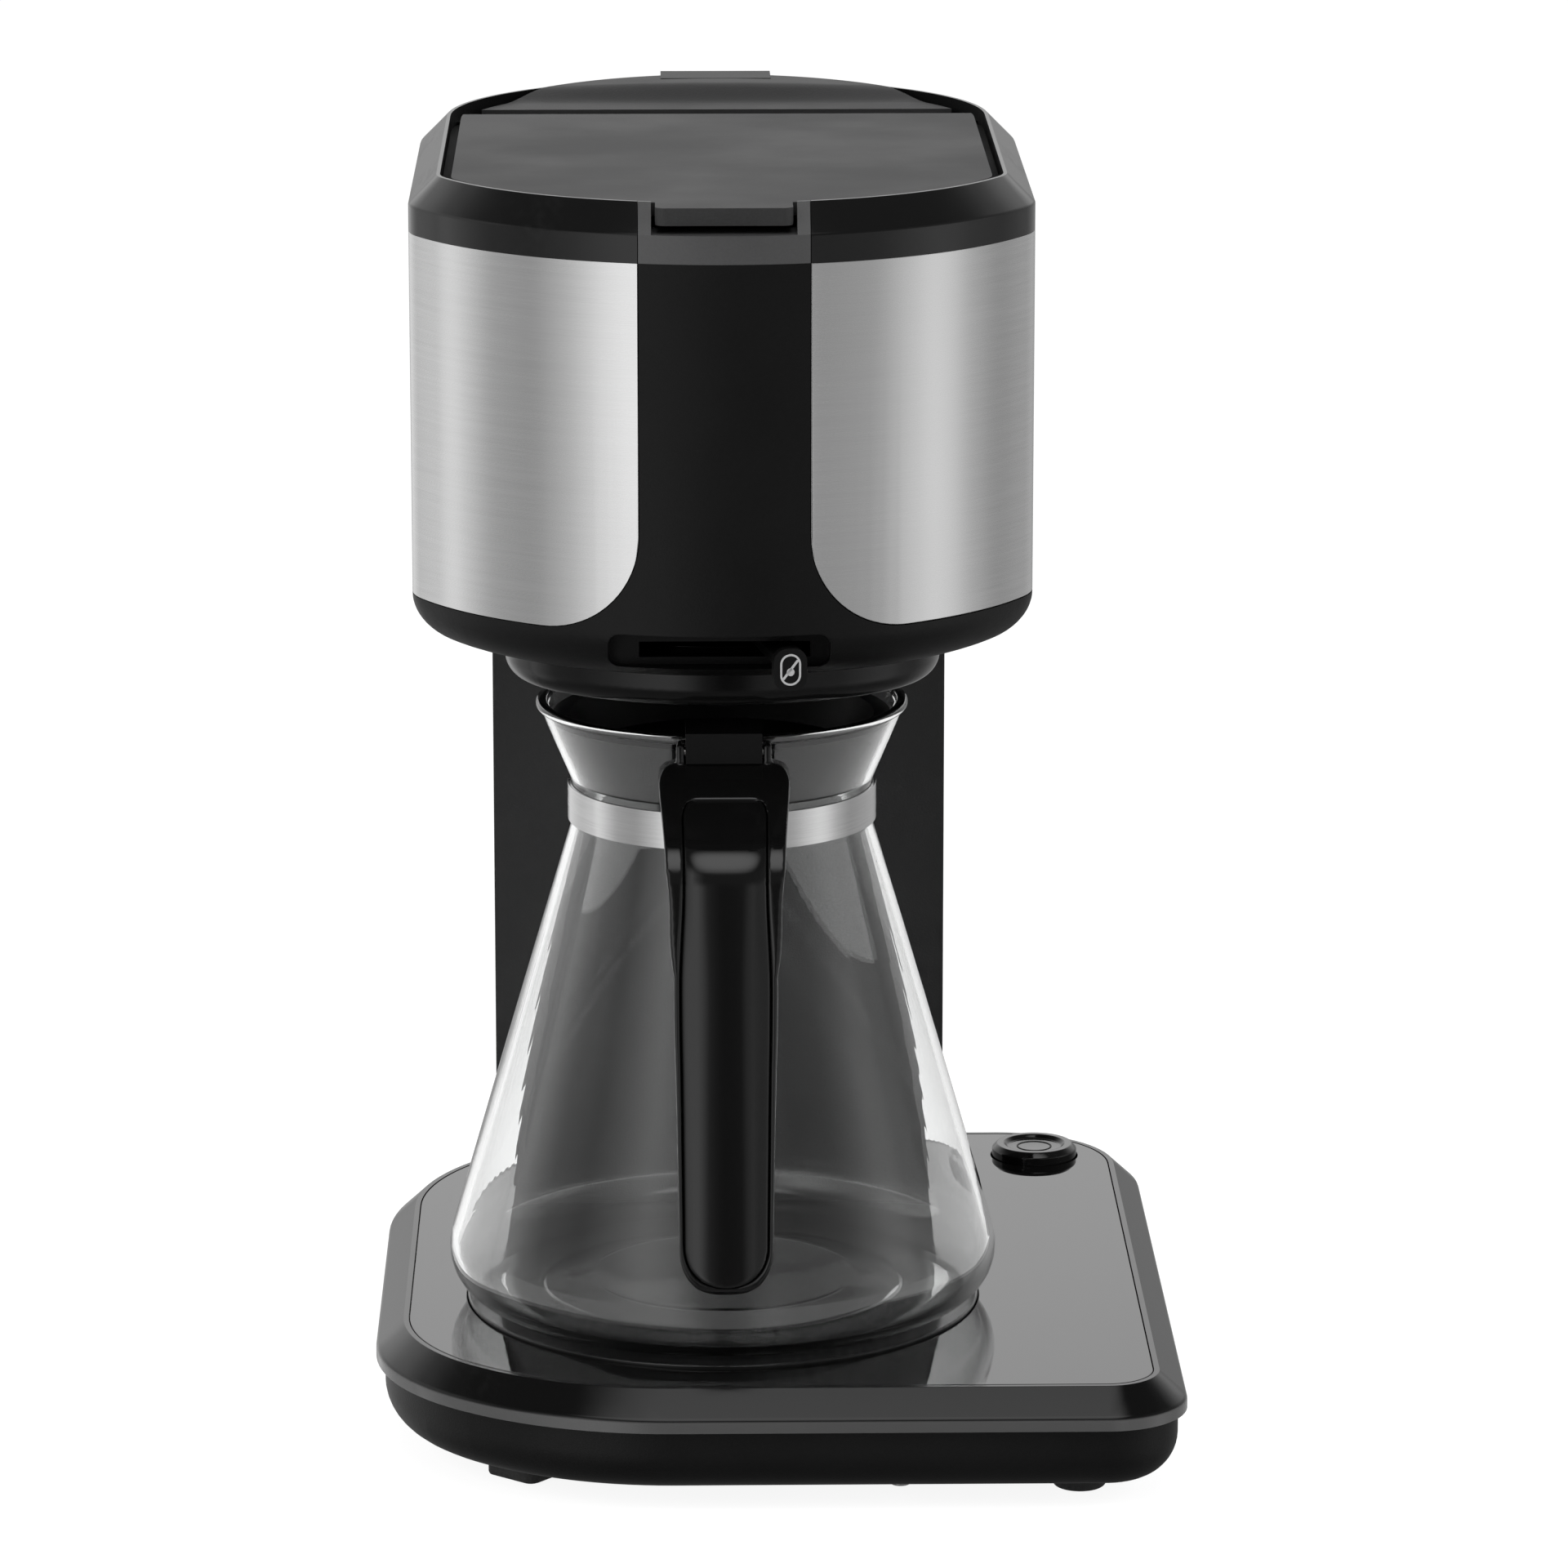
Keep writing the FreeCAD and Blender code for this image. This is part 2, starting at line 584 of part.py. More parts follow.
def soften(body, name, radius, test):
    """Round the edges of the body's last feature that pass a test."""
    doc.recompute()
    base = body.Tip
    edges = [f"Edge{number}" for number, edge in enumerate(base.Shape.Edges, start=1) if test(edge)]
    feature = body.newObject("PartDesign::Fillet", name)
    feature.Base = (base, edges)
    bind(feature, {"Radius": radius})
    body.Tip = feature
    return feature


def lies_at(edge, height):
    """True for an edge that lies level at a height."""
    box = edge.BoundBox
    return abs(box.ZMin - height.value) < 1e-4 and abs(box.ZMax - height.value) < 1e-4


def cylinder(name, x, y, z, radius, height):
    """An upright cylinder, placed from the brew axis."""
    shape = doc.addObject("Part::Cylinder", name)
    bind(shape, {"Radius": radius, "Height": height})
    bind(shape, {"Placement.Base.x": axis_x + x, "Placement.Base.y": axis_y + y, "Placement.Base.z": z})
    return shape


def box(name, left, right, front, back, bottom, top):
    """A box between two corners, placed from the brew axis."""
    shape = doc.addObject("Part::Box", name)
    left, front, bottom = as_size(left), as_size(front), as_size(bottom)
    bind(shape, {"Length": right - left, "Width": back - front, "Height": top - bottom})
    bind(shape, {"Placement.Base.x": axis_x + left, "Placement.Base.y": axis_y + front})
    bind(shape, {"Placement.Base.z": bottom})
    return shape


def cut(name, base, *tools):
    """Take one or more shapes away from another."""
    result = doc.addObject("Part::Cut", name)
    result.Base = base
    result.Tool = tools[0] if len(tools) == 1 else group(f"{name}_tools", tools)
    return result


def fuse(name, *shapes):
    result = doc.addObject("Part::MultiFuse", name)
    result.Shapes = list(shapes)
    return result


def common(name, *shapes):
    result = doc.addObject("Part::MultiCommon", name)
    result.Shapes = list(shapes)
    return result


def group(name, shapes):
    """Several separate solids in one node."""
    result = doc.addObject("Part::Compound", name)
    result.Links = list(shapes)
    return result


def screw(name, x, y, z, direction):
    """A pan head screw whose head sits on a face at x, y, z and whose shank points along a direction."""
    body = doc.addObject("PartDesign::Body", name)
    turn(body, f"{name}_turned", [
        (0, -d.screw_head_height),
        (d.screw_head, -d.screw_head_height, d.screw_head / 4),
        (d.screw_head, 0),
        (d.screw_radius - d.pin_gap, 0),
        (d.screw_radius - d.pin_gap, d.screw_length - d.screw_radius),
        (0, d.screw_length),
    ])
    bind(body, {"Placement.Base.x": axis_x + x, "Placement.Base.y": axis_y + y, "Placement.Base.z": z})
    body.Placement.Rotation = FreeCAD.Rotation(Vector(0, 0, 1), direction)
    return body


# Base

# Screws through the tub's floor into bosses under the collar's ledge
boss_places = [
    (boss_inset - d.base_left_reach, d.back_centre_reach / 2),
    (d.base_right_reach - boss_inset, d.back_centre_reach / 2),
    (d.button_x / 2, d.base_back_reach - boss_inset),
    (d.button_x / 2, boss_inset - d.base_front_reach),
]
foot_places = [
    (d.base_right_reach - d.foot_inset, d.foot_inset - d.base_front_reach),
    (d.base_right_reach - d.foot_inset, d.base_back_reach - d.foot_inset),
    (d.corner_back_left / 2 - d.base_left_reach, d.base_back_reach - d.corner_back_left / 2),
]


def draw_boss_circles(radius):
    def draw(sketch):
        for x, y in boss_places:
            draw_circle(sketch, x, y, radius)
    return draw


def draw_tower(grow):
    return lambda sketch: draw_half_round(
        sketch, d.tower_half_width + grow, d.back_centre_reach, d.tower_front_y - grow)


def make_base_tub():
    block = new_body("tub_block")
    pad(block, "tub_solid", d.tub_height, lambda sketch: draw_base(sketch, d.tub_inset),
        offset=d.foot_height)
    soften(block, "tub_bottom_edge", d.tub_rounding, lambda edge: lies_at(edge, d.foot_height))
    pocket(block, "tub_screw_holes", None, draw_boss_circles(d.screw_radius + d.fit_gap), offset=collar_z)
    cavity = new_body("tub_cavity")
    pad(cavity, "cavity_solid", d.tub_height, lambda sketch: draw_base(sketch, d.tub_inset + d.housing_wall),
        offset=tub_floor_z)
    soften(cavity, "cavity_bottom_edge", d.tub_rounding - d.housing_wall,
           lambda edge: lies_at(edge, tub_floor_z))

    def draw_posts(sketch):
        for side_x in (-1, 1):
            for side_y in (-1, 1):
                x = board_x + side_x * (d.board_width / 2 - d.boss_radius)
                y = board_y + side_y * (d.board_length / 2 - d.boss_radius)
                draw_circle(sketch, x, y, d.boss_radius * 0.75)

    pocket(cavity, "board_posts", d.board_stand, draw_posts, offset=tub_floor_z, Reversed=True)
    return keep(cut("base_tub", block, cavity), "base_tub")


def make_base_collar():
    body = new_body("base_collar")
    band_top = collar_z + d.collar_band
    pad(body, "collar_upright", d.collar_band, lambda sketch: draw_base(sketch, as_size(0)), offset=collar_z)
    loft(body, "collar_bevel", lambda sketch: draw_base(sketch, as_size(0)), band_top,
         lambda sketch: draw_base(sketch, d.collar_chamfer_run), deck_top_z)
    pocket(body, "deck_seat", d.deck_thickness, lambda sketch: draw_base(sketch, deck_inset),
           offset=deck_top_z)
    pocket(body, "collar_opening", None, lambda sketch: draw_base(sketch, ledge_inset), offset=deck_top_z)
    pocket(body, "collar_button_room", None,
           lambda sketch: draw_circle(sketch, d.button_x, d.button_y, button_flange + d.running_gap),
           offset=deck_bottom_z)
    boss_drop = collar_z - tub_floor_z - d.fit_gap
    pad(body, "collar_bosses", boss_drop + d.housing_wall, draw_boss_circles(d.boss_radius),
        offset=collar_z + d.housing_wall, Reversed=True)
    pocket(body, "collar_boss_bores", d.screw_length, draw_boss_circles(d.screw_radius),
           offset=collar_z - boss_drop, Reversed=True)
    return keep(body, "base_collar")


def make_deck_glass():
    body = new_body("deck_glass")
    pad(body, "deck_plate", d.deck_thickness, lambda sketch: draw_base(sketch, deck_inset + d.fit_gap),
        offset=deck_bottom_z)
    pocket(body, "deck_hotplate_hole", None,
           lambda sketch: draw_circle(sketch, 0, 0, hotplate_radius + d.fit_gap), offset=deck_top_z)
    pocket(body, "deck_button_hole", None,
           lambda sketch: draw_circle(sketch, d.button_x, d.button_y, d.button_radius + d.running_gap),
           offset=deck_top_z)
    pocket(body, "deck_tower_hole", None, draw_tower(d.fit_gap), offset=deck_top_z)
    return keep(body, "deck_glass")


def make_hotplate():
    body = new_body("hotplate")
    inner = hotplate_radius - d.housing_wall
    outer = hotplate_reach
    edge = d.hotplate_rise / 2
    turn(body, "hotplate_turned", [
        (0, plate_bottom_z),
        (inner, plate_bottom_z),
        (inner, flange_bottom_z),
        (outer, flange_bottom_z),
        (outer, flange_top_z),
        (hotplate_radius, flange_top_z),
        (hotplate_radius, hotplate_top_z, edge),
        (0, hotplate_top_z),
    ])
    return keep(body, "hotplate")


def make_hotplate_seal():
    body = new_body("hotplate_seal")
    inner = hotplate_radius + d.fit_gap
    outer = hotplate_reach - d.fit_gap
    turn(body, "seal_turned", [
        (inner, flange_top_z), (outer, flange_top_z), (outer, deck_bottom_z), (inner, deck_bottom_z)])
    return keep(body, "hotplate_seal")


def make_heater_tube():
    """A horseshoe: one flat section, with a water way beside a heating rod, swept round the hotplate."""
    body = new_body("heater_tube")
    path = new_sketch(body, "heater_path", offset=heater_z)
    radius, leg = d.heater_radius, d.heater_leg
    circle = Part.Circle(Vector(), Vector(0, 0, 1), radius.value)
    bend = path.addGeometry(Part.ArcOfCircle(circle, math.pi, 2 * math.pi))
    right = path.addGeometry(Part.LineSegment(Vector(radius.value, 0, 0),
                                              Vector(radius.value, leg.value, 0)))
    ends = [Vector(-radius.value, leg.value, 0), Vector(-radius.value, 0, 0)]
    left = path.addGeometry(Part.LineSegment(*ends))
    path.addConstraint(Sketcher.Constraint("Tangent", left, 2, bend, 1))
    path.addConstraint(Sketcher.Constraint("Tangent", bend, 2, right, 1))
    path.addConstraint(Sketcher.Constraint("Coincident", bend, 3, -1, 1))
    path.addConstraint(Sketcher.Constraint("Vertical", left))
    path.addConstraint(Sketcher.Constraint("Vertical", right))
    hold(path, "Radius", (bend,), radius)
    hold(path, "DistanceY", (left, 1), leg)
    hold(path, "DistanceY", (right, 2), leg)
    section = new_sketch(body, "heater_section", "XZ_Plane", offset=-leg)
    half = d.heater_width / 2
    low = heater_z - d.heater_height / 2
    draw_rectangle(section, -radius - half, half - radius, low, low + d.heater_height, d.heater_height / 3)
    sweep = body.newObject("PartDesign::AdditivePipe", "heater_sweep")
    sweep.Profile = section
    sweep.Spine = (path, ["Edge1", "Edge2", "Edge3"])
    body.Tip = sweep

    def draw_stubs(sketch):
        for side in (-1, 1):
            draw_circle(sketch, side * radius, water_z, d.hose_bore - d.fit_gap)

    pad(body, "heater_stubs", d.hose_bend, draw_stubs, "XZ_Plane", offset=-leg, Reversed=True)
    return keep(body, "heater_tube")


def make_thermal_cutouts():
    shapes = []
    for side in (-1, 1):
        body = doc.addObject("PartDesign::Body", f"cutout_{'front' if side < 0 else 'back'}")
        top = d.cutout_height
        turn(body, f"cutout_turned_{side + 1}", [
            (0, 0), (d.cutout_radius * 0.7, 0), (d.cutout_radius * 0.7, top / 2),
            (d.cutout_radius, top / 2), (d.cutout_radius, top), (0, top)])
        bind(body, {"Placement.Base.x": axis_x, "Placement.Base.y": axis_y + side * d.cutout_radius * 1.5,
                    "Placement.Base.z": plate_bottom_z - d.cutout_height})
        shapes.append(body)
    return keep(group("thermal_cutouts", shapes), "thermal_cutouts")


def make_control_board():
    """The board carries a key switch under the button, a relay and two connectors."""
    half_x, half_y = d.board_width / 2, d.board_length / 2
    plate = box("board_plate", board_x - half_x, board_x + half_x, board_y - half_y, board_y + half_y,
                board_z, board_top_z)
    stem_z = deck_bottom_z - d.button_travel * 4
    key_top = stem_z - d.button_travel - d.running_gap
    key_half = d.boss_radius * 1.5
    key = box("board_key", d.button_x - key_half, d.button_x + key_half, d.button_y - key_half,
              d.button_y + key_half, board_top_z, key_top)
    relay = box("board_relay", board_x - half_x * 0.7, board_x + half_x * 0.1, board_y - half_y * 0.5,
                board_y - half_y * 0.1, board_top_z, key_top + d.button_travel)
    plug = box("board_plug", board_x - half_x * 0.8, board_x + half_x * 0.6, board_y - half_y * 0.9,
               board_y - half_y * 0.65, board_top_z, key_top - d.button_travel)
    return keep(fuse("control_board", plate, key, relay, plug), "control_board")


def make_power_button():
    body = doc.addObject("PartDesign::Body", "power_button")
    bind(body, {"Placement.Base.x": axis_x + d.button_x, "Placement.Base.y": axis_y + d.button_y})
    top = deck_top_z + d.button_rise
    flange_top = deck_bottom_z - d.running_gap
    stem_z = deck_bottom_z - d.button_travel * 4
    ring_inner = d.button_radius * 0.72
    dish_edge = ring_inner - d.button_dish
    turn(body, "button_turned", [
        (0, stem_z),
        (d.boss_radius, stem_z),
        (d.boss_radius, flange_top - d.button_dish * 1.2),
        (button_flange, flange_top - d.button_dish * 1.2),
        (button_flange, flange_top),
        (d.button_radius, flange_top),
        (d.button_radius, top - d.button_dish * 1.4),
        (d.button_radius - d.button_dish * 1.4, top),
        (ring_inner, top),
        (dish_edge, top - d.button_dish),
        (0, top - d.button_dish * 1.3),
    ])
    return keep(body, "power_button")


def make_rubber_feet():
    feet = []
    for number, (x, y) in enumerate(foot_places, start=1):
        body = doc.addObject("PartDesign::Body", f"round_foot_{number}")
        turn(body, f"round_foot_turned_{number}", [
            (0, 0), (d.foot_radius, 0, d.foot_height / 4), (d.foot_radius, d.foot_height),
            (0, d.foot_height)])
        bind(body, {"Placement.Base.x": axis_x + x, "Placement.Base.y": axis_y + y})
        feet.append(body)
    return keep(group("rubber_feet", feet), "rubber_feet")


def make_front_left_foot():
    body = doc.addObject("PartDesign::Body", "front_left_foot")
    width, depth = d.corner_cut_width, d.corner_cut_depth
    edge = root(width * width + depth * depth)
    inward_x = depth / edge * d.block_foot_inset
    inward_y = width / edge * d.block_foot_inset
    bind(body, {
        "Placement.Base.x": axis_x - d.base_left_reach + width / 2 + inward_x,
        "Placement.Base.y": axis_y - d.base_front_reach + depth / 2 + inward_y,
    })
    body.setExpression("Placement.Rotation.Angle", f"-1 * atan({(depth / width).text})")
    half_x, half_y = d.block_foot_length / 2, d.block_foot_width / 2
    pad(body, "block_foot", d.foot_height,
        lambda sketch: draw_rectangle(sketch, -half_x, half_x, -half_y, half_y, d.block_foot_width / 4))
    return keep(body, "front_left_foot")


def make_base_screws():
    up = Vector(0, 0, 1)
    screws = [screw(f"base_screw_{number}", x, y, d.foot_height, up)
              for number, (x, y) in enumerate(boss_places, start=1)]
    return keep(group("base_screws", screws), "base_screws")


# Tower

tower_joint_y = d.tower_front_y + d.housing_wall
tower_back_y = d.back_centre_reach + d.tower_half_width
tower_top_z = head_floor_z
tower_height = tower_top_z - tub_floor_z
window_half = d.heater_radius + d.hose_radius * 1.5
pillar_places = [tub_floor_z + tower_height / 4, tub_floor_z + tower_height * 0.9]
head_screw_x = d.tower_half_width * 0.72
head_screw_y = tower_joint_y + d.boss_radius


def make_tower_front():
    """A flat plate, with pillars for the rear shell's screws and blocks for the head's screws."""
    body = new_body("tower_front")
    joint = tower_joint_y - d.back_centre_reach
    half = root(d.tower_half_width * d.tower_half_width - joint * joint)
    pad(body, "tower_plate", tower_height,
        lambda sketch: draw_rectangle(sketch, -half, half, d.tower_front_y, tower_joint_y),
        offset=tub_floor_z)

    def draw_pillars(sketch):
        for height in pillar_places:
            draw_circle(sketch, 0, height, d.boss_radius)

    pillar_length = tower_back_y - d.housing_wall - d.fit_gap - tower_joint_y
    pad(body, "tower_pillars", pillar_length, draw_pillars, "XZ_Plane",
        offset=-tower_joint_y, Reversed=True)

    def draw_pillar_bores(sketch):
        for height in pillar_places:
            draw_circle(sketch, 0, height, d.screw_radius)

    pocket(body, "tower_pillar_bores", d.screw_length, draw_pillar_bores, "XZ_Plane",
           offset=d.housing_wall + d.fit_gap - tower_back_y, Reversed=True)

    def draw_blocks(sketch):
        for side in (-1, 1):
            middle = side * head_screw_x
            draw_rectangle(sketch, middle - d.boss_radius, middle + d.boss_radius, tower_joint_y - d.fit_gap,
                           head_screw_y + d.boss_radius)

    def draw_block_bores(sketch):
        for side in (-1, 1):
            draw_circle(sketch, side * head_screw_x, head_screw_y, d.screw_radius)

    pad(body, "tower_blocks", d.screw_length * 1.5, draw_blocks, offset=tower_top_z, Reversed=True)
    pocket(body, "tower_block_bores", d.screw_length, draw_block_bores, offset=tower_top_z)
    pocket(body, "tower_hose_window", None,
           lambda sketch: draw_rectangle(sketch, -window_half, window_half, tub_floor_z + d.housing_wall,
                                         deck_bottom_z, d.hose_radius),
           "XZ_Plane", offset=d.fit_gap - tower_joint_y - d.boss_radius, Reversed=True)
    return keep(body, "tower_front")


def make_tower_back():
    body = new_body("tower_back")
    pad(body, "tower_round", tower_height,
        lambda sketch: draw_half_round(sketch, d.tower_half_width, d.back_centre_reach,
                                       tower_joint_y + d.fit_gap),
        offset=tub_floor_z)
    pocket(body, "tower_hollow", None,
           lambda sketch: draw_half_round(sketch, d.tower_half_width - d.housing_wall,
                                          d.back_centre_reach, tower_joint_y),
           offset=tower_top_z)

    def draw_holes(sketch):
        for height in pillar_places:
            draw_circle(sketch, 0, height, d.screw_radius + d.fit_gap)

    pocket(body, "tower_screw_holes", None, draw_holes, "XZ_Plane", offset=d.housing_wall * 2 - tower_back_y)

    def draw_heads(sketch):
        for height in pillar_places:
            draw_circle(sketch, 0, height, d.screw_head + d.fit_gap)

    pocket(body, "tower_screw_seats", d.housing_wall * 2, draw_heads, "XZ_Plane",
           offset=d.housing_wall * 0.6 - tower_back_y)
    pocket(body, "tower_gland_hole", None,
           lambda sketch: draw_circle(sketch, 0, d.gland_height, d.gland_radius * 0.7),
           "XZ_Plane", offset=d.housing_wall * 2 - tower_back_y)
    return keep(body, "tower_back")


def make_tower_screws():
    back = Vector(0, -1, 0)
    screws = [screw(f"tower_screw_{number}", 0, tower_back_y - d.housing_wall * 0.6, height, back)
              for number, height in enumerate(pillar_places, start=1)]
    return keep(group("tower_screws", screws), "tower_screws")


def make_cord_gland():
    """A bush in the back of the tower for the mains lead."""
    body = doc.addObject("PartDesign::Body", "cord_gland")
    neck = d.gland_radius * 0.7 - d.fit_gap
    bore = d.gland_radius * 0.5
    lip = d.housing_wall
    turn(body, "gland_turned", [
        (bore, -lip), (neck, -lip), (neck, lip), (d.gland_radius, lip), (d.gland_radius, lip * 1.8, lip / 3),
        (bore, lip * 1.8)])
    bind(body, {"Placement.Base.x": axis_x, "Placement.Base.y": axis_y + tower_back_y - lip + d.fit_gap,
                "Placement.Base.z": d.gland_height})
    body.Placement.Rotation = FreeCAD.Rotation(Vector(0, 0, 1), Vector(0, 1, 0))
    return keep(body, "cord_gland")


# Water path


def make_hose(name, route):
    """A hose with its bore along straight runs joined by tangent bends, from points about the brew axis."""
    points = [Vector(*(as_size(value).value for value in point)) for point in route]
    edges = []
    start = points[0]
    for before, corner, after in zip(points, points[1:], points[2:]):
        into = (corner - before).normalize()
        out = (after - corner).normalize()
        length = d.hose_bend.value * math.tan(into.getAngle(out) / 2)
        first = corner - into * length
        last = corner + out * length
        middle = (out - into).normalize()
        reach = math.hypot(d.hose_bend.value, length) - d.hose_bend.value
        edges.append(Part.LineSegment(start, first).toShape())
        edges.append(Part.Arc(first, corner + middle * reach, last).toShape())
        start = last
    edges.append(Part.LineSegment(start, points[-1]).toShape())
    path = Part.Wire(edges)
    ahead = (points[1] - points[0]).normalize()

    def tube(radius):
        ring = Part.Wire([Part.makeCircle(radius, points[0], ahead)])
        return path.makePipeShell([ring], True, True)

    hose = doc.addObject("Part::Feature", name)
    hose.Shape = tube(d.hose_radius.value).cut(tube(d.hose_bore.value))
    hose.Placement = FreeCAD.Placement(Vector(axis_x.value, axis_y.value, 0), FreeCAD.Rotation())
    return keep(hose, name)


stub_y = d.heater_leg + d.fit_gap
under_tank_z = head_inner_z + d.hose_radius + d.tank_stand / 8
riser_x = d.holder_top_radius * 0.72
riser_y = d.bar_front_y - d.hose_radius * 2
spout_z = holder_top_z + d.hose_radius / 2
spout_top_z = lid_bottom_z - d.spray_height - 2 * d.running_gap


def make_supply_hose():
    return make_hose("supply_hose", [
        (-d.hose_side, d.hose_y, valve_bottom_z - d.fit_gap),
        (-d.hose_side, d.hose_y, water_z),
        (-d.heater_radius, d.tower_front_y, water_z),
        (-d.heater_radius, stub_y, water_z),
    ])


def make_riser_hose():
    return make_hose("riser_hose", [
        (d.heater_radius, stub_y, water_z),
        (d.heater_radius, d.tower_front_y, water_z),
        (d.hose_side, d.hose_y, water_z),
        (d.hose_side, d.hose_y, under_tank_z),
        (riser_x, riser_y, under_tank_z),
        (riser_x, riser_y, spout_z - d.fit_gap),
    ])


def make_check_valve():
    body = doc.addObject("PartDesign::Body", "check_valve")
    bind(body, {"Placement.Base.x": axis_x - d.hose_side, "Placement.Base.y": axis_y + d.hose_y})
    socket = d.spigot_radius + d.fit_gap
    bore = d.hose_bore / 2
    barb = d.hose_bore - d.fit_gap
    middle = valve_top_z - d.valve_length / 3
    barb_end = valve_bottom_z - d.valve_length / 3
    turn(body, "valve_turned", [
        (bore, barb_end), (barb, barb_end), (barb, valve_bottom_z), (d.valve_radius, valve_bottom_z),
        (d.valve_radius, valve_top_z), (socket, valve_top_z), (socket, middle), (bore, middle)])
    return keep(body, "check_valve")


def make_water_tank():
    """A half round tank behind the filter, on three feet, with a spigot for the check valve."""
    body = new_body("water_tank")
    height = tank_top_z - tank_floor_z
    pad(body, "tank_block", height,
        lambda sketch: draw_half_round(sketch, tank_radius, d.back_centre_reach, tank_front_y),
        offset=tank_floor_z)
    pocket(body, "tank_hollow", height - d.tank_wall,
           lambda sketch: draw_half_round(sketch, tank_radius - d.tank_wall, d.back_centre_reach,
                                          tank_front_y + d.tank_wall), offset=tank_top_z)

    def draw_feet(sketch):
        floor_reach = d.head_half_width - head_wall_inset - d.bowl_run + d.housing_wall
        reach = floor_reach - d.boss_radius - d.fit_gap
        across = reach * cosine(d.tank_foot_angle)
        behind = reach * sine(d.tank_foot_angle)
        for side in (-1, 1):
            draw_circle(sketch, side * across, d.back_centre_reach + behind, d.boss_radius)
        draw_circle(sketch, 0, d.back_centre_reach + reach, d.boss_radius)

    pad(body, "tank_feet", d.tank_stand, draw_feet, offset=tank_floor_z, Reversed=True)
    pad(body, "tank_spigot", d.valve_length / 4,
        lambda sketch: draw_circle(sketch, -d.hose_side, d.hose_y, d.spigot_radius), offset=tank_floor_z,
        Reversed=True)
    pocket(body, "tank_outlet", None,
           lambda sketch: draw_circle(sketch, -d.hose_side, d.hose_y, d.hose_bore * 0.7),
           offset=tank_floor_z + d.tank_wall)
    return keep(body, "water_tank")


def make_brew_spout():
    """An open channel from the riser hose to the middle of the filter, held on the front of the tank."""
    body = new_body("brew_spout")
    half = d.hose_radius * 1.3
    way = d.hose_bore * 1.2

    def draw_spout(sketch):
        draw_outline(sketch, [
            (riser_x - half, riser_y - half, half / 2),
            (d.hose_radius, d.spout_reach - half, half / 2),
            (-d.hose_radius, d.spout_reach + half, half / 2),
            (riser_x - 2 * half, d.bar_front_y),
            (riser_x + half, d.bar_front_y),
            (riser_x + half, riser_y - half, half / 2),
        ])

    pad(body, "spout_block", spout_top_z - spout_z, draw_spout, offset=spout_z)

    def draw_holes(sketch):
        draw_circle(sketch, riser_x, riser_y, d.hose_bore)
        draw_circle(sketch, 0, d.spout_reach + way, d.hose_bore)

    pocket(body, "spout_channel", (spout_top_z - spout_z) * 0.6,
           lambda sketch: draw_outline(sketch, [
               (-way, d.spout_reach), (way, d.spout_reach), (riser_x + way, riser_y),
               (riser_x - way, riser_y)]),
           offset=spout_top_z)
    pocket(body, "spout_holes", None, draw_holes, offset=spout_top_z)
    return keep(body, "brew_spout")


# Head


def draw_strip(gap):
    """The strip between the steel panels, seen from the front, with its flared foot."""
    def draw(sketch):
        half = d.strip_half_width - gap
        foot = d.strip_half_width + 2 * d.strip_corner
        low = steel_bottom_z - gap
        top = ring_z + d.ring_band
        corner = d.strip_corner + gap
        draw_outline(sketch, [
            (-foot, low - d.ring_band), (foot, low - d.ring_band), (foot, low), (half, low, corner),
            (half, top), (-half, top), (-half, low, corner), (-foot, low)])
    return draw


def panel_ring(name, gap):
    """The steel wrap, or with a gap the recess that it lies in, open at the front and the back."""
    ring = new_body(f"{name}_ring")
    outer = as_size(0) if gap is None else -d.lid_gap
    grow = as_size(0) if gap is None else gap
    low = steel_bottom_z - grow

    def draw(sketch):
        draw_head(sketch, outer)
        draw_head(sketch, d.steel_thickness + grow)

    pad(ring, f"{name}_wrap", d.steel_height + 2 * grow, draw, offset=low)
    front = new_body(f"{name}_front")
    pad(front, f"{name}_front_strip", d.head_front_radius * 1.5, draw_strip(grow), "XZ_Plane")
    back = new_body(f"{name}_back")
    pad(back, f"{name}_back_strip", d.head_front_radius * 2.5,
        lambda sketch: draw_rectangle(sketch, grow - d.strip_half_width, d.strip_half_width - grow,
                                      low - d.ring_band, ring_z + d.ring_band), "XZ_Plane", Reversed=True)
    return cut(name, ring, front, back)


def make_steel_panels():
    wrap = panel_ring("steel_wrap", None)
    far = 2 * d.head_front_radius
    for side, label in ((-1, "steel_panel_left"), (1, "steel_panel_right")):
        half = box(f"{label}_half", -far if side < 0 else 0, as_size(0) if side < 0 else far, -far, far,
                   head_floor_z, ring_top_z)
        keep(common(label, wrap, half), label)


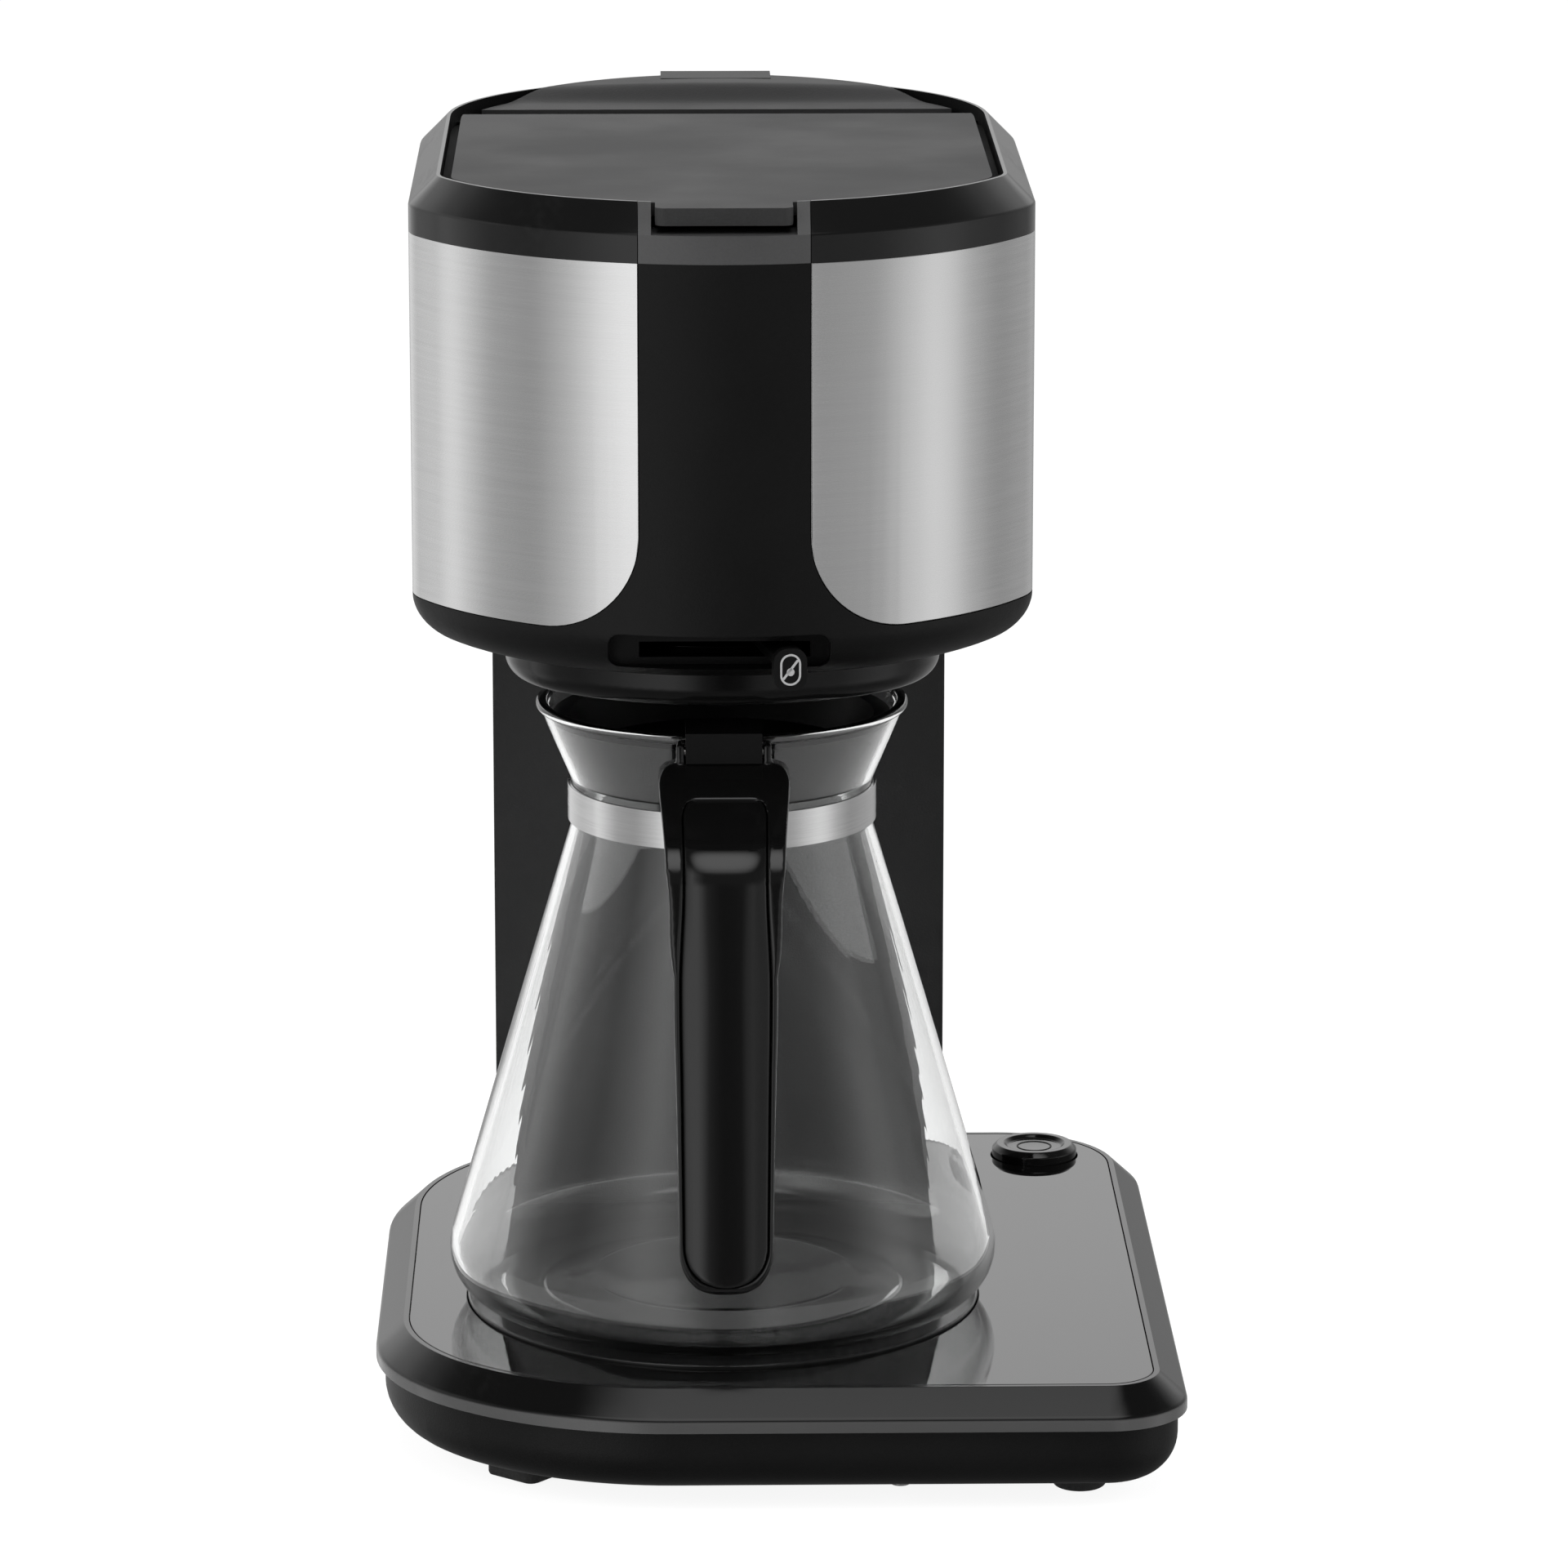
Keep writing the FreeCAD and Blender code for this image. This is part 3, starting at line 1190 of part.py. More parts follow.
def make_head_shell():
    """A shell with a rounded bottom, a walled recess for the lever and seats for the steel panels."""
    block = new_body("head_block")
    rise = d.bowl_height - d.fit_gap
    bowl(block, "head_bowl", as_size(0), d.bowl_run, head_floor_z, rise)
    pad(block, "head_upright", ring_z - head_floor_z - rise, lambda sketch: draw_head(sketch, as_size(0)),
        offset=head_floor_z + rise)
    pocket(block, "lever_recess", None,
           lambda sketch: draw_rectangle(sketch, -d.slot_left, d.slot_right, slot_z, slot_top_z,
                                         d.slot_height / 3),
           "XZ_Plane", offset=d.slot_back_reach, Reversed=True)
    way_gap = 2 * d.running_gap
    pocket(block, "lever_way", None,
           lambda sketch: draw_rectangle(sketch, -d.way_half_width, d.way_half_width, lever_z - way_gap,
                                         lever_top_z + way_gap),
           "XZ_Plane", offset=d.slot_back_reach - 2 * d.housing_wall, Reversed=True)

    def draw_floor_holes(sketch):
        draw_circle(sketch, 0, 0, d.cup_radius + d.fit_gap)
        draw_circle(sketch, -d.hose_side, d.hose_y, d.valve_radius + d.fit_gap * 2)
        draw_circle(sketch, d.hose_side, d.hose_y, d.hose_radius + d.hose_bend / 3)
        for side in (-1, 1):
            draw_circle(sketch, side * head_screw_x, head_screw_y, d.screw_radius + d.fit_gap)

    pocket(block, "head_floor_holes", None, draw_floor_holes, offset=head_inner_z)
    cavity = new_body("head_cavity")
    inner_rise = rise - d.housing_wall
    bowl(cavity, "cavity_bowl", head_wall_inset, d.bowl_run - d.housing_wall, head_inner_z, inner_rise)
    pad(cavity, "cavity_upright", ring_top_z - head_inner_z - inner_rise,
        lambda sketch: draw_head(sketch, head_wall_inset), offset=head_inner_z + inner_rise)
    pocket(cavity, "recess_walls", None,
           lambda sketch: draw_rectangle(sketch, -d.slot_left - d.housing_wall,
                                         d.slot_right + d.housing_wall,
                                         head_floor_z, slot_top_z + d.housing_wall),
           "XZ_Plane", offset=d.slot_back_reach - d.housing_wall, Reversed=True)
    return keep(cut("head_shell", block, cavity, panel_ring("steel_recess", d.fit_gap)), "head_shell")


def make_head_screws():
    down = Vector(0, 0, -1)
    screws = [screw(f"head_screw_{side + 1}", side * head_screw_x, head_screw_y, head_inner_z, down)
              for side in (-1, 1)]
    return keep(group("head_screws", screws), "head_screws")


def make_top_ring():
    """The ring with its chamfer, the shelf under the lids, the hinge bar and its lugs."""
    ring = new_body("top_ring")
    band_top = ring_z + d.ring_band
    pad(ring, "ring_upright", d.ring_band, lambda sketch: draw_head(sketch, 0), offset=ring_z)
    loft(ring, "ring_bevel", lambda sketch: draw_head(sketch, 0), band_top,
         lambda sketch: draw_head(sketch, d.ring_chamfer), ring_top_z)
    pocket(ring, "ring_well", ring_top_z - shelf_top_z, lambda sketch: draw_head(sketch, opening_inset),
           offset=ring_top_z)
    pocket(ring, "ring_opening", None, lambda sketch: draw_head(sketch, shelf_inset), offset=ring_top_z)
    pocket(ring, "ring_relief", shelf_top_z - d.shelf_thickness - ring_z,
           lambda sketch: draw_head(sketch, opening_inset), offset=ring_z, Reversed=True)
    side = d.head_half_width - opening_inset + d.ring_lip
    pad(ring, "hinge_bar", bar_top_z - ring_z,
        lambda sketch: draw_rectangle(sketch, -side, side, d.bar_front_y, bar_back_y), offset=ring_z)

    def draw_lug(pin_y, bar_y):
        """One lug in side view: a round eye with a web to the bar."""
        def draw(sketch):
            reach = d.knuckle_radius if pin_y.value < bar_y.value else -d.knuckle_radius
            draw_outline(sketch, ordered([
                (pin_y - reach, pin_z - d.knuckle_radius, d.knuckle_radius * 0.9),
                (bar_y + reach / 2, pin_z - d.knuckle_radius),
                (bar_y + reach / 2, bar_top_z),
                (pin_y - reach, bar_top_z, d.knuckle_radius * 0.9)]))
            draw_circle(sketch, pin_y, pin_z, d.pin_radius + d.pin_gap / 5)
        return draw

    for side_x in (-1, 1):
        start = side_x * d.lug_x - d.lug_length / 2
        pad(ring, f"front_lug_{side_x + 1}", d.lug_length, draw_lug(front_pin_y, d.bar_front_y), "YZ_Plane",
            start)
        pad(ring, f"back_lug_{side_x + 1}", d.lug_length, draw_lug(back_pin_y, bar_back_y), "YZ_Plane",
            start)
    half = d.strip_half_width
    notch = box("bridge_notch", -half, half, -2 * d.head_front_radius, as_size(0), ring_z - d.ring_band,
                ring_top_z + d.ring_band)
    keep(cut("top_collar", ring, notch), "top_collar")
    gap = d.fit_gap
    blank = box("bridge_blank", gap - half, half - gap, -2 * d.head_front_radius, as_size(0),
                ring_z - d.ring_band, ring_top_z + d.ring_band)
    recess = box("bridge_recess", -d.recess_half_width, d.recess_half_width, -2 * d.head_front_radius,
                 as_size(0), ring_top_z - d.recess_depth, ring_top_z + d.ring_band)
    keep(cut("front_bridge", common("bridge_solid", ring, blank), recess), "front_bridge")


def ordered(corners):
    """List corners the other way round where they would run clockwise."""
    twice_area = sum(as_size(a[0]).value * as_size(b[1]).value - as_size(b[0]).value * as_size(a[1]).value
                     for a, b in zip(corners, corners[1:] + corners[:1]))
    return corners if twice_area > 0 else corners[::-1]


def add_knuckles(body, name, pin_y, inward):
    """Two hinge knuckles with webs up to the underside of a lid."""
    def draw(sketch):
        web = inward * d.knuckle_radius
        draw_outline(sketch, ordered([
            (pin_y - web, pin_z - d.knuckle_radius, d.knuckle_radius * 0.8),
            (pin_y + 3 * web, lid_bottom_z - d.pin_drop),
            (pin_y + 3 * web, lid_bottom_z + d.lid_thickness / 2),
            (pin_y + web + inward * d.running_gap * 2, lid_bottom_z + d.lid_thickness / 2),
            (pin_y + web + inward * d.running_gap * 2, pin_z + d.knuckle_radius),
            (pin_y - web, pin_z + d.knuckle_radius, d.knuckle_radius * 0.8)]))
        draw_circle(sketch, pin_y, pin_z, d.pin_radius + d.pin_gap)

    for side in (-1, 1):
        start = side * d.knuckle_x - d.knuckle_length / 2
        pad(body, f"{name}_{side + 1}", d.knuckle_length, draw, "YZ_Plane", start)


def make_filter_lid():
    body = new_body("filter_lid")
    far = 2 * d.head_front_radius
    pad(body, "filter_lid_plate", d.lid_thickness, lambda sketch: draw_head(sketch, lid_inset),
        offset=lid_bottom_z)
    pocket(body, "filter_lid_back", None,
           lambda sketch: draw_rectangle(sketch, -far, far, front_lid_back_y, 2 * far), offset=lid_top_z)
    front = lid_inset - d.head_front_radius
    half = d.tab_width / 2
    pad(body, "filter_lid_tab", d.tab_thickness,
        lambda sketch: draw_rectangle(sketch, -half, half, front - d.tab_depth, front + d.tab_depth,
                                      d.tab_depth / 3), offset=lid_top_z, Reversed=True)
    add_knuckles(body, "filter_knuckle", front_pin_y, -1)
    return keep(body, "filter_lid")


def make_spray_head():
    """A shallow perforated cup clipped under the filter lid."""
    body = new_body("spray_head")
    low = lid_bottom_z - d.spray_height
    pad(body, "spray_cup", d.spray_height, lambda sketch: draw_circle(sketch, 0, 0, d.spray_radius),
        offset=low)
    pocket(body, "spray_hollow", d.spray_height - d.holder_wall,
           lambda sketch: draw_circle(sketch, 0, 0, d.spray_radius - d.holder_wall), offset=lid_bottom_z)

    def draw_hole(sketch):
        draw_circle(sketch, d.spray_radius * 0.62, 0, d.spray_hole_radius)

    hole = pocket(body, "spray_hole", None, draw_hole, offset=low + d.holder_wall)
    ring = body.newObject("PartDesign::PolarPattern", "spray_hole_ring")
    ring.Originals = [hole]
    ring.Axis = (next(part for part in body.Origin.OriginFeatures if part.Role == "Z_Axis"), [""])
    bind(ring, {"Occurrences": d.spray_holes, "Angle": 360})
    body.Tip = ring
    return keep(body, "spray_head")


def make_tank_lid():
    """The rear lid: a plate with a shallow crown, cut from a prism by a very large ball."""
    body = new_body("tank_lid_prism")
    far = 2 * d.head_front_radius
    pad(body, "tank_lid_plate", d.lid_thickness + d.lid_dome, lambda sketch: draw_head(sketch, lid_inset),
        offset=lid_bottom_z)
    pocket(body, "tank_lid_front", None,
           lambda sketch: draw_rectangle(sketch, -far, far, -far, tank_lid_front_y),
           offset=lid_top_z + d.lid_dome)
    add_knuckles(body, "tank_knuckle", back_pin_y, 1)
    reach = d.head_half_width - lid_inset
    ball_radius = (reach * reach + d.lid_dome * d.lid_dome) / (2 * d.lid_dome)
    ball = doc.addObject("Part::Sphere", "tank_lid_ball")
    lid_back_y = d.back_centre_reach + reach
    bind(ball, {"Radius": ball_radius, "Placement.Base.x": axis_x,
                "Placement.Base.y": axis_y + (tank_lid_front_y + lid_back_y) / 2,
                "Placement.Base.z": lid_top_z + d.lid_dome - ball_radius})
    half = d.tank_tab_width / 2
    tab_top = lid_top_z + d.lid_dome
    tab_back = lid_back_y + d.tank_tab_depth
    root_front_y = lid_back_y - 2 * d.tank_tab_depth
    root_box = box("tank_tab_root", -half, half, root_front_y, lid_back_y - d.running_gap,
                   lid_bottom_z + d.lid_thickness / 2, tab_top)
    tip_box = box("tank_tab_tip", -half, half, lid_back_y - d.tank_tab_depth, tab_back,
                  ring_top_z + d.running_gap, tab_top)
    crown = common("tank_lid_crown", body, ball)
    return keep(fuse("tank_lid", crown, root_box, tip_box), "tank_lid")


def make_hinge_pins():
    pins = []
    reach = d.lug_x + d.lug_length / 2
    for name, pin_y in (("front_pin", front_pin_y), ("back_pin", back_pin_y)):
        pin = doc.addObject("Part::Cylinder", name)
        bind(pin, {"Radius": d.pin_radius, "Height": 2 * reach, "Placement.Base.x": axis_x - reach,
                   "Placement.Base.y": axis_y + pin_y, "Placement.Base.z": pin_z})
        pin.Placement.Rotation = FreeCAD.Rotation(Vector(0, 0, 1), Vector(1, 0, 0))
        pins.append(pin)
    return keep(group("hinge_pins", pins), "hinge_pins")


# Filter and drip stop

cup_top_z = head_inner_z + d.dish_wall


def make_filter_holder():
    """A flat basket with a rim, on a skirt round the drip stop that is open in front for the lever."""
    body = new_body("filter_holder")
    low = holder_floor_z - d.holder_wall
    turn(body, "holder_turned", [
        (d.holder_outlet, low),
        (d.holder_bottom_radius, low, d.holder_wall * 2),
        (d.holder_top_radius, holder_top_z - d.holder_rim),
        (d.holder_top_radius + d.holder_rim, holder_top_z - d.holder_rim),
        (d.holder_top_radius + d.holder_rim, holder_top_z),
        (d.holder_top_radius - d.holder_wall, holder_top_z),
        (d.holder_bottom_radius - d.holder_wall, holder_floor_z, d.holder_wall),
        (d.holder_outlet, holder_floor_z),
    ])
    slope = (holder_top_z - d.holder_rim - low) / (d.holder_top_radius - d.holder_bottom_radius)
    meet_z = low + (d.skirt_radius - d.holder_bottom_radius) * slope - d.holder_wall
    stand_z = head_inner_z + d.fit_gap

    def draw_skirt(sketch):
        draw_circle(sketch, 0, 0, d.skirt_radius)
        draw_circle(sketch, 0, 0, d.skirt_radius - d.holder_wall)

    pad(body, "holder_skirt", meet_z - stand_z, draw_skirt, offset=stand_z)
    pocket(body, "holder_lever_gap", None,
           lambda sketch: draw_rectangle(sketch, -d.slot_left, d.slot_right, stand_z - d.holder_wall, low),
           "XZ_Plane", offset=d.skirt_radius / 2, Reversed=True)
    return keep(body, "filter_holder")


def make_outlet_dish():
    """A dish under the head, with a cup that snaps through the head's floor and a hub for the drip stop."""
    body = new_body("outlet_dish")
    inner_floor = dish_bottom_z + d.dish_wall
    low = inner_floor - d.dish_wall / 2
    cup_inner = d.cup_radius - d.dish_wall
    pad(body, "dish_block", d.dish_depth, lambda sketch: draw_dish(sketch, as_size(0)), offset=dish_bottom_z)
    soften(body, "dish_edge", d.dish_rounding, lambda edge: lies_at(edge, dish_bottom_z))
    pocket(body, "dish_hollow", d.dish_depth - d.dish_wall,
           lambda sketch: draw_dish(sketch, 2 * d.dish_wall),
           offset=head_floor_z)

    def draw_ring(radius):
        def draw(sketch):
            draw_circle(sketch, 0, 0, radius)
            draw_circle(sketch, 0, 0, cup_inner)
        return draw

    pad(body, "dish_cup", cup_top_z - low, draw_ring(d.cup_radius), offset=low)
    pad(body, "dish_bead", d.dish_wall, draw_ring(d.cup_radius + d.cup_bead), offset=head_inner_z)
    pad(body, "dish_hub", hub_top_z - low, lambda sketch: draw_circle(sketch, 0, 0, d.hub_radius),
        offset=low)
    pad(body, "dish_pivot", lever_top_z - low, lambda sketch: draw_circle(sketch, 0, 0, d.pivot_radius),
        offset=low)
    pocket(body, "dish_port", None, lambda sketch: draw_circle(sketch, 0, -d.port_reach, d.port_radius),
           offset=hub_top_z)
    return keep(body, "outlet_dish")


def make_valve_seal():
    body = new_body("valve_seal")

    def draw(sketch):
        draw_circle(sketch, 0, 0, d.hub_radius - d.seal_thickness)
        draw_circle(sketch, 0, 0, d.pivot_radius + d.seal_thickness)
        draw_circle(sketch, 0, -d.port_reach, d.port_radius)

    pad(body, "seal_washer", d.seal_thickness, draw, offset=hub_top_z)
    return keep(body, "valve_seal")


def make_drip_lever():
    """A shutter on a pivot, with an arm through the slot to a finger pad; the right end shuts its port."""
    body = new_body("drip_lever")
    bind(body, {"Placement.Rotation.Angle": d.lever_angle})
    pad(body, "shutter", d.lever_thickness,
        lambda sketch: draw_circle(sketch, 0, 0, d.hub_radius - d.seal_thickness),
        offset=lever_z)
    half = d.lever_width / 2
    pad_back = d.head_front_radius + 2 * d.running_gap
    pad(body, "lever_arm", d.lever_thickness,
        lambda sketch: draw_rectangle(sketch, -half, half, -pad_back - d.pad_thickness / 2,
                                      -d.hub_radius / 2),
        offset=lever_z)
    pad_half = d.pad_width / 2
    pad_low = lever_z - d.pad_drop
    pad(body, "lever_pad", d.pad_thickness,
        lambda sketch: draw_rectangle(sketch, -pad_half, pad_half, pad_low, pad_low + d.pad_height,
                                      pad_half * 0.8),
        "XZ_Plane", offset=pad_back)
    pocket(body, "lever_pivot_bore", None,
           lambda sketch: draw_circle(sketch, 0, 0, d.pivot_radius + d.pin_gap), offset=lever_top_z)
    open_angle = d.lever_swing - d.lever_angle
    pocket(body, "lever_port", None,
           lambda sketch: draw_circle(sketch, d.port_reach * sine(open_angle),
                                      -d.port_reach * cosine(open_angle),
                                      d.port_radius), offset=lever_top_z)
    return keep(body, "drip_lever")


# Carafe

glass_neck = d.neck_radius - d.band_thickness - d.fit_gap
cone_slope = (d.body_radius - glass_neck) / d.neck_height
flare_slope = (d.rim_radius - glass_neck) / (rim_z - band_top_z)
lid_face_z = rim_z - d.lid_recess
lid_radius = d.rim_radius - d.glass_wall * root(1 + flare_slope * flare_slope) - d.running_gap


def make_carafe_glass():
    body = new_body("carafe_glass")
    wall = d.glass_wall
    inner_cone = d.body_radius - wall * cone_slope - wall * root(1 + cone_slope * cone_slope)
    foot_inner = d.body_radius * 0.62
    punt_edge = d.body_radius * 0.45
    soft = d.body_rounding / 2
    bead = wall * 0.42
    turn(body, "glass_turned", [
        (0, carafe_z + d.punt_height),
        (punt_edge, carafe_z + d.punt_height, soft),
        (foot_inner, carafe_z, soft),
        (d.body_radius, carafe_z, d.body_rounding),
        (glass_neck, band_z, soft),
        (glass_neck, band_top_z, soft),
        (d.rim_radius, rim_z, bead),
        (d.rim_radius - wall, rim_z, bead),
        (glass_neck - wall, band_top_z, soft),
        (glass_neck - wall, band_z, soft),
        (inner_cone, carafe_z + wall, d.body_rounding - wall),
        (foot_inner, carafe_z + wall, soft),
        (punt_edge, carafe_z + d.punt_height + wall, soft),
        (0, carafe_z + d.punt_height + wall),
    ])
    return keep(body, "carafe_glass")


def make_carafe_band():
    body = new_body("carafe_band")
    inner = d.neck_radius - d.band_thickness
    turn(body, "band_turned", [
        (inner, band_z), (d.neck_radius, band_z), (d.neck_radius, band_top_z), (inner, band_top_z)])
    return keep(body, "carafe_band")


hinge_y = -(d.rim_radius + d.bracket_depth / 2 + d.fit_gap * 2)
hinge_z = handle_top_z + d.knuckle_radius
leg_front_y = hinge_y - d.bracket_depth / 2
leg_back_y = hinge_y + d.bracket_depth / 2


def make_carafe_lid():
    """A dished plug with a funnel and a hinge lug over the rim."""
    body = new_body("carafe_lid_plug")
    wall = d.lid_wall
    low_z = lid_face_z - d.lid_depth
    floor_z = lid_face_z - d.lid_depth * 0.6
    under_z = floor_z - wall
    edge = lid_radius - flare_slope * d.lid_recess

    def flank(z):
        return edge - flare_slope * (lid_face_z - z)

    turn(body, "lid_turned", [
        (d.drip_hole, under_z - wall),
        (d.drip_hole + wall, under_z - wall),
        (d.funnel_radius, under_z),
        (flank(under_z) - wall, under_z),
        (flank(low_z) - wall, low_z),
        (flank(low_z), low_z),
        (edge, lid_face_z),
        (edge - 2 * wall, lid_face_z),
        (flank(floor_z) - 2 * wall, floor_z),
        (d.funnel_radius, floor_z),
        (d.drip_hole, under_z),
    ])
    half = d.lug_width / 2
    bridge_z = rim_z + d.running_gap
    top = bridge_z + wall
    root_box = box("lid_lug_root", -half, half, wall - edge, 2 * wall - edge, lid_face_z - wall / 2, top)
    bridge = box("lid_lug_bridge", -half, half, leg_front_y, 2 * wall - edge, bridge_z, top)
    leg = box("lid_lug_leg", -half, half, leg_front_y, leg_back_y, handle_top_z + d.fit_gap, top)
    bore = doc.addObject("Part::Cylinder", "lid_lug_bore")
    place_across(bore, d.pin_radius + d.pin_gap, half * 2)
    return keep(cut("carafe_lid", fuse("lid_solid", body, root_box, bridge, leg), bore), "carafe_lid")


def place_across(pin, radius, length):
    """Lay a cylinder along the carafe lid's hinge axis."""
    bind(pin, {"Radius": radius, "Height": length, "Placement.Base.x": axis_x - length / 2,
               "Placement.Base.y": axis_y + hinge_y, "Placement.Base.z": hinge_z})
    pin.Placement.Rotation = FreeCAD.Rotation(Vector(0, 0, 1), Vector(1, 0, 0))


def make_lid_hinge_pin():
    pin = doc.addObject("Part::Cylinder", "lid_hinge_pin")
    place_across(pin, d.pin_radius, d.lug_width + 2 * d.lid_wall + 2 * d.running_gap)
    return keep(pin, "lid_hinge_pin")


handle_slope = d.elbow_drop / (d.handle_reach - d.rim_radius - d.bracket_depth)


def handle_corner(depth):
    """The corner of the elbow, for a line that lies inside the handle's outer face by a depth."""
    drop = depth * (handle_slope - root(1 + handle_slope * handle_slope))
    return (depth - d.handle_reach, elbow_z + drop, d.elbow_radius - depth)


def slope_point(reach, depth):
    """A point on the handle's sloping top, at a distance from the brew axis."""
    rise = (d.handle_reach - reach) * handle_slope
    return (-reach, elbow_z + rise - depth * root(1 + handle_slope * handle_slope))


def handle_slab(name, corners, width):
    """The handle's side view, as thick as the piece is wide."""
    body = new_body(name)
    pad(body, f"{name}_side", width, lambda sketch: draw_outline(sketch, ordered(corners)), "YZ_Plane",
        SideType="Symmetric")
    return body


def handle_face(name, half, low, top, corner, shoulders):
    """The handle's front view, cut from front to back, with rounded upper corners."""
    body = new_body(name)
    round_end = half - d.fit_gap
    right = [(half, low, round_end)]
    if shoulders:
        wide = d.bracket_width / 2
        right += [(half, handle_top_z - d.shoulder_drop, half), (wide, handle_top_z - d.bracket_side, half)]
        right += [(wide, top, corner)]
    else:
        right += [(half, top, corner)]
    left = [(-x, *rest) for x, *rest in reversed(right)]
    pad(body, f"{name}_front", d.handle_reach * 1.5, lambda sketch: draw_outline(sketch, right + left),
        "XZ_Plane")
    return body


def inlay_shape(name, shallow, deep, grow):
    """The inlay on the handle's outer face, or with growth the recess that it lies in."""
    start = d.rim_radius + 3 * d.bracket_depth - grow
    end_z = handle_tip_z + 2 * d.inlay_margin - grow
    half = d.grip_width / 2 - d.inlay_margin + grow
    strip = handle_slab(f"{name}_strip", [
        slope_point(start, shallow), handle_corner(shallow), (shallow - d.handle_reach, end_z),
        (deep - d.handle_reach, end_z), handle_corner(deep), slope_point(start, deep)], d.bracket_width)
    top = slope_point(start, as_size(0))[1]
    face = handle_face(f"{name}_outline", half, end_z, top, d.inlay_corner + grow, False)
    return common(name, strip, face)


screw_seat_y = -(d.neck_radius + d.fit_gap + d.screw_length)
screw_height = band_z + d.band_height / 2


def make_carafe_handle():
    clear = d.neck_radius + d.fit_gap
    low = handle_top_z - d.bracket_drop
    slack = d.running_gap * 2
    top_back = d.rim_radius + d.fit_gap
    cone_low = glass_neck + (band_z - low) * cone_slope + slack
    inner = d.handle_reach - d.handle_thickness
    side = handle_slab("handle_side", [
        (-cone_low, low),
        (-clear, band_z - slack),
        (-clear, band_top_z + slack),
        (-top_back, handle_top_z),
        (-(d.rim_radius + d.bracket_depth), handle_top_z),
        handle_corner(as_size(0)),
        (-d.handle_reach, handle_tip_z, d.handle_thickness / 3),
        (-inner, handle_tip_z, d.handle_thickness / 3),
        (-inner, low, d.elbow_radius / 2),
    ], 2 * d.bracket_width)
    face = handle_face("handle_outline", d.grip_width / 2, handle_tip_z, handle_top_z, d.bracket_corner,
                       True)
    solid = common("handle_solid", side, face)
    ears = []
    for direction, name in ((-1, "left"), (1, "right")):
        near = d.lug_width / 2 + d.running_gap
        far = near + d.lid_wall
        ends = (near, far) if direction > 0 else (-far, -near)
        ears.append(box(f"handle_ear_{name}", *ends, leg_front_y, leg_back_y, handle_top_z - d.lid_wall,
                        hinge_z + d.knuckle_radius))
    well = doc.addObject("PartDesign::Body", "handle_screw_well")
    turn(well, "well_turned", [
        (0, -d.handle_reach), (d.screw_head + d.fit_gap, -d.handle_reach), (d.screw_head + d.fit_gap, 0),
        (d.screw_radius + d.fit_gap, 0), (d.screw_radius + d.fit_gap, 2 * d.screw_length),
        (0, 2 * d.screw_length)])
    bind(well, {"Placement.Base.x": axis_x, "Placement.Base.y": axis_y + screw_seat_y,
                "Placement.Base.z": screw_height})
    well.Placement.Rotation = FreeCAD.Rotation(Vector(0, 0, 1), Vector(0, 1, 0))
    pin_hole = doc.addObject("Part::Cylinder", "handle_pin_hole")
    place_across(pin_hole, d.pin_radius + d.pin_gap / 5, d.bracket_width)
    gap = d.fit_gap
    recess_depth = d.inlay_thickness + d.inlay_margin / 5 + gap
    recess = inlay_shape("inlay_recess", -d.inlay_thickness, recess_depth, gap)
    handle = cut("carafe_handle", fuse("handle_eared", solid, *ears), well, pin_hole, recess)
    return keep(handle, "carafe_handle")


def make_handle_grip():
    shallow = d.inlay_margin / 5
    inlay = inlay_shape("handle_grip", shallow, d.inlay_thickness + shallow, as_size(0))
    return keep(inlay, "handle_grip")


def make_band_screw():
    return keep(screw("band_screw", 0, screw_seat_y, screw_height, Vector(0, 1, 0)), "band_screw")


MAKERS = [
    make_base_tub, make_base_collar, make_deck_glass, make_hotplate, make_hotplate_seal, make_heater_tube,
    make_thermal_cutouts, make_control_board, make_power_button, make_rubber_feet, make_front_left_foot,
    make_base_screws, make_tower_front, make_tower_back, make_tower_screws, make_cord_gland,
    make_supply_hose,
    make_riser_hose, make_check_valve, make_water_tank, make_brew_spout, make_steel_panels, make_head_shell,
    make_head_screws, make_top_ring, make_filter_lid, make_spray_head, make_tank_lid, make_hinge_pins,
    make_filter_holder, make_outlet_dish, make_valve_seal, make_drip_lever, make_carafe_glass,
    make_carafe_band,
    make_carafe_lid, make_lid_hinge_pin, make_carafe_handle, make_handle_grip, make_band_screw,
]

for maker in MAKERS:
    maker()
doc.recompute()

faults = [thing.Name for thing in doc.Objects if "Invalid" in thing.State or "Error" in thing.State]
for node in nodes:
    shape = node.Shape
    if shape.isNull() or not shape.isValid() or not shape.Solids:
        faults.append(node.Label)
if faults:
    raise RuntimeError(f"not built: {faults}")
idle = [feature.Name for feature in cuts if feature.Shape.Volume > feature.BaseFeature.Shape.Volume - 1e-3]
if idle:
    raise RuntimeError(f"cuts that remove nothing: {idle}")

os.makedirs("parts", exist_ok=True)
for node in nodes:
    node.Shape.exportStep(f"parts/{node.Label}.step")
    print(node.Label, len(node.Shape.Solids), "solid(s)", round(node.Shape.Volume), "mm3")
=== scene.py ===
import json
import math

import bpy
from mathutils import Matrix, Vector


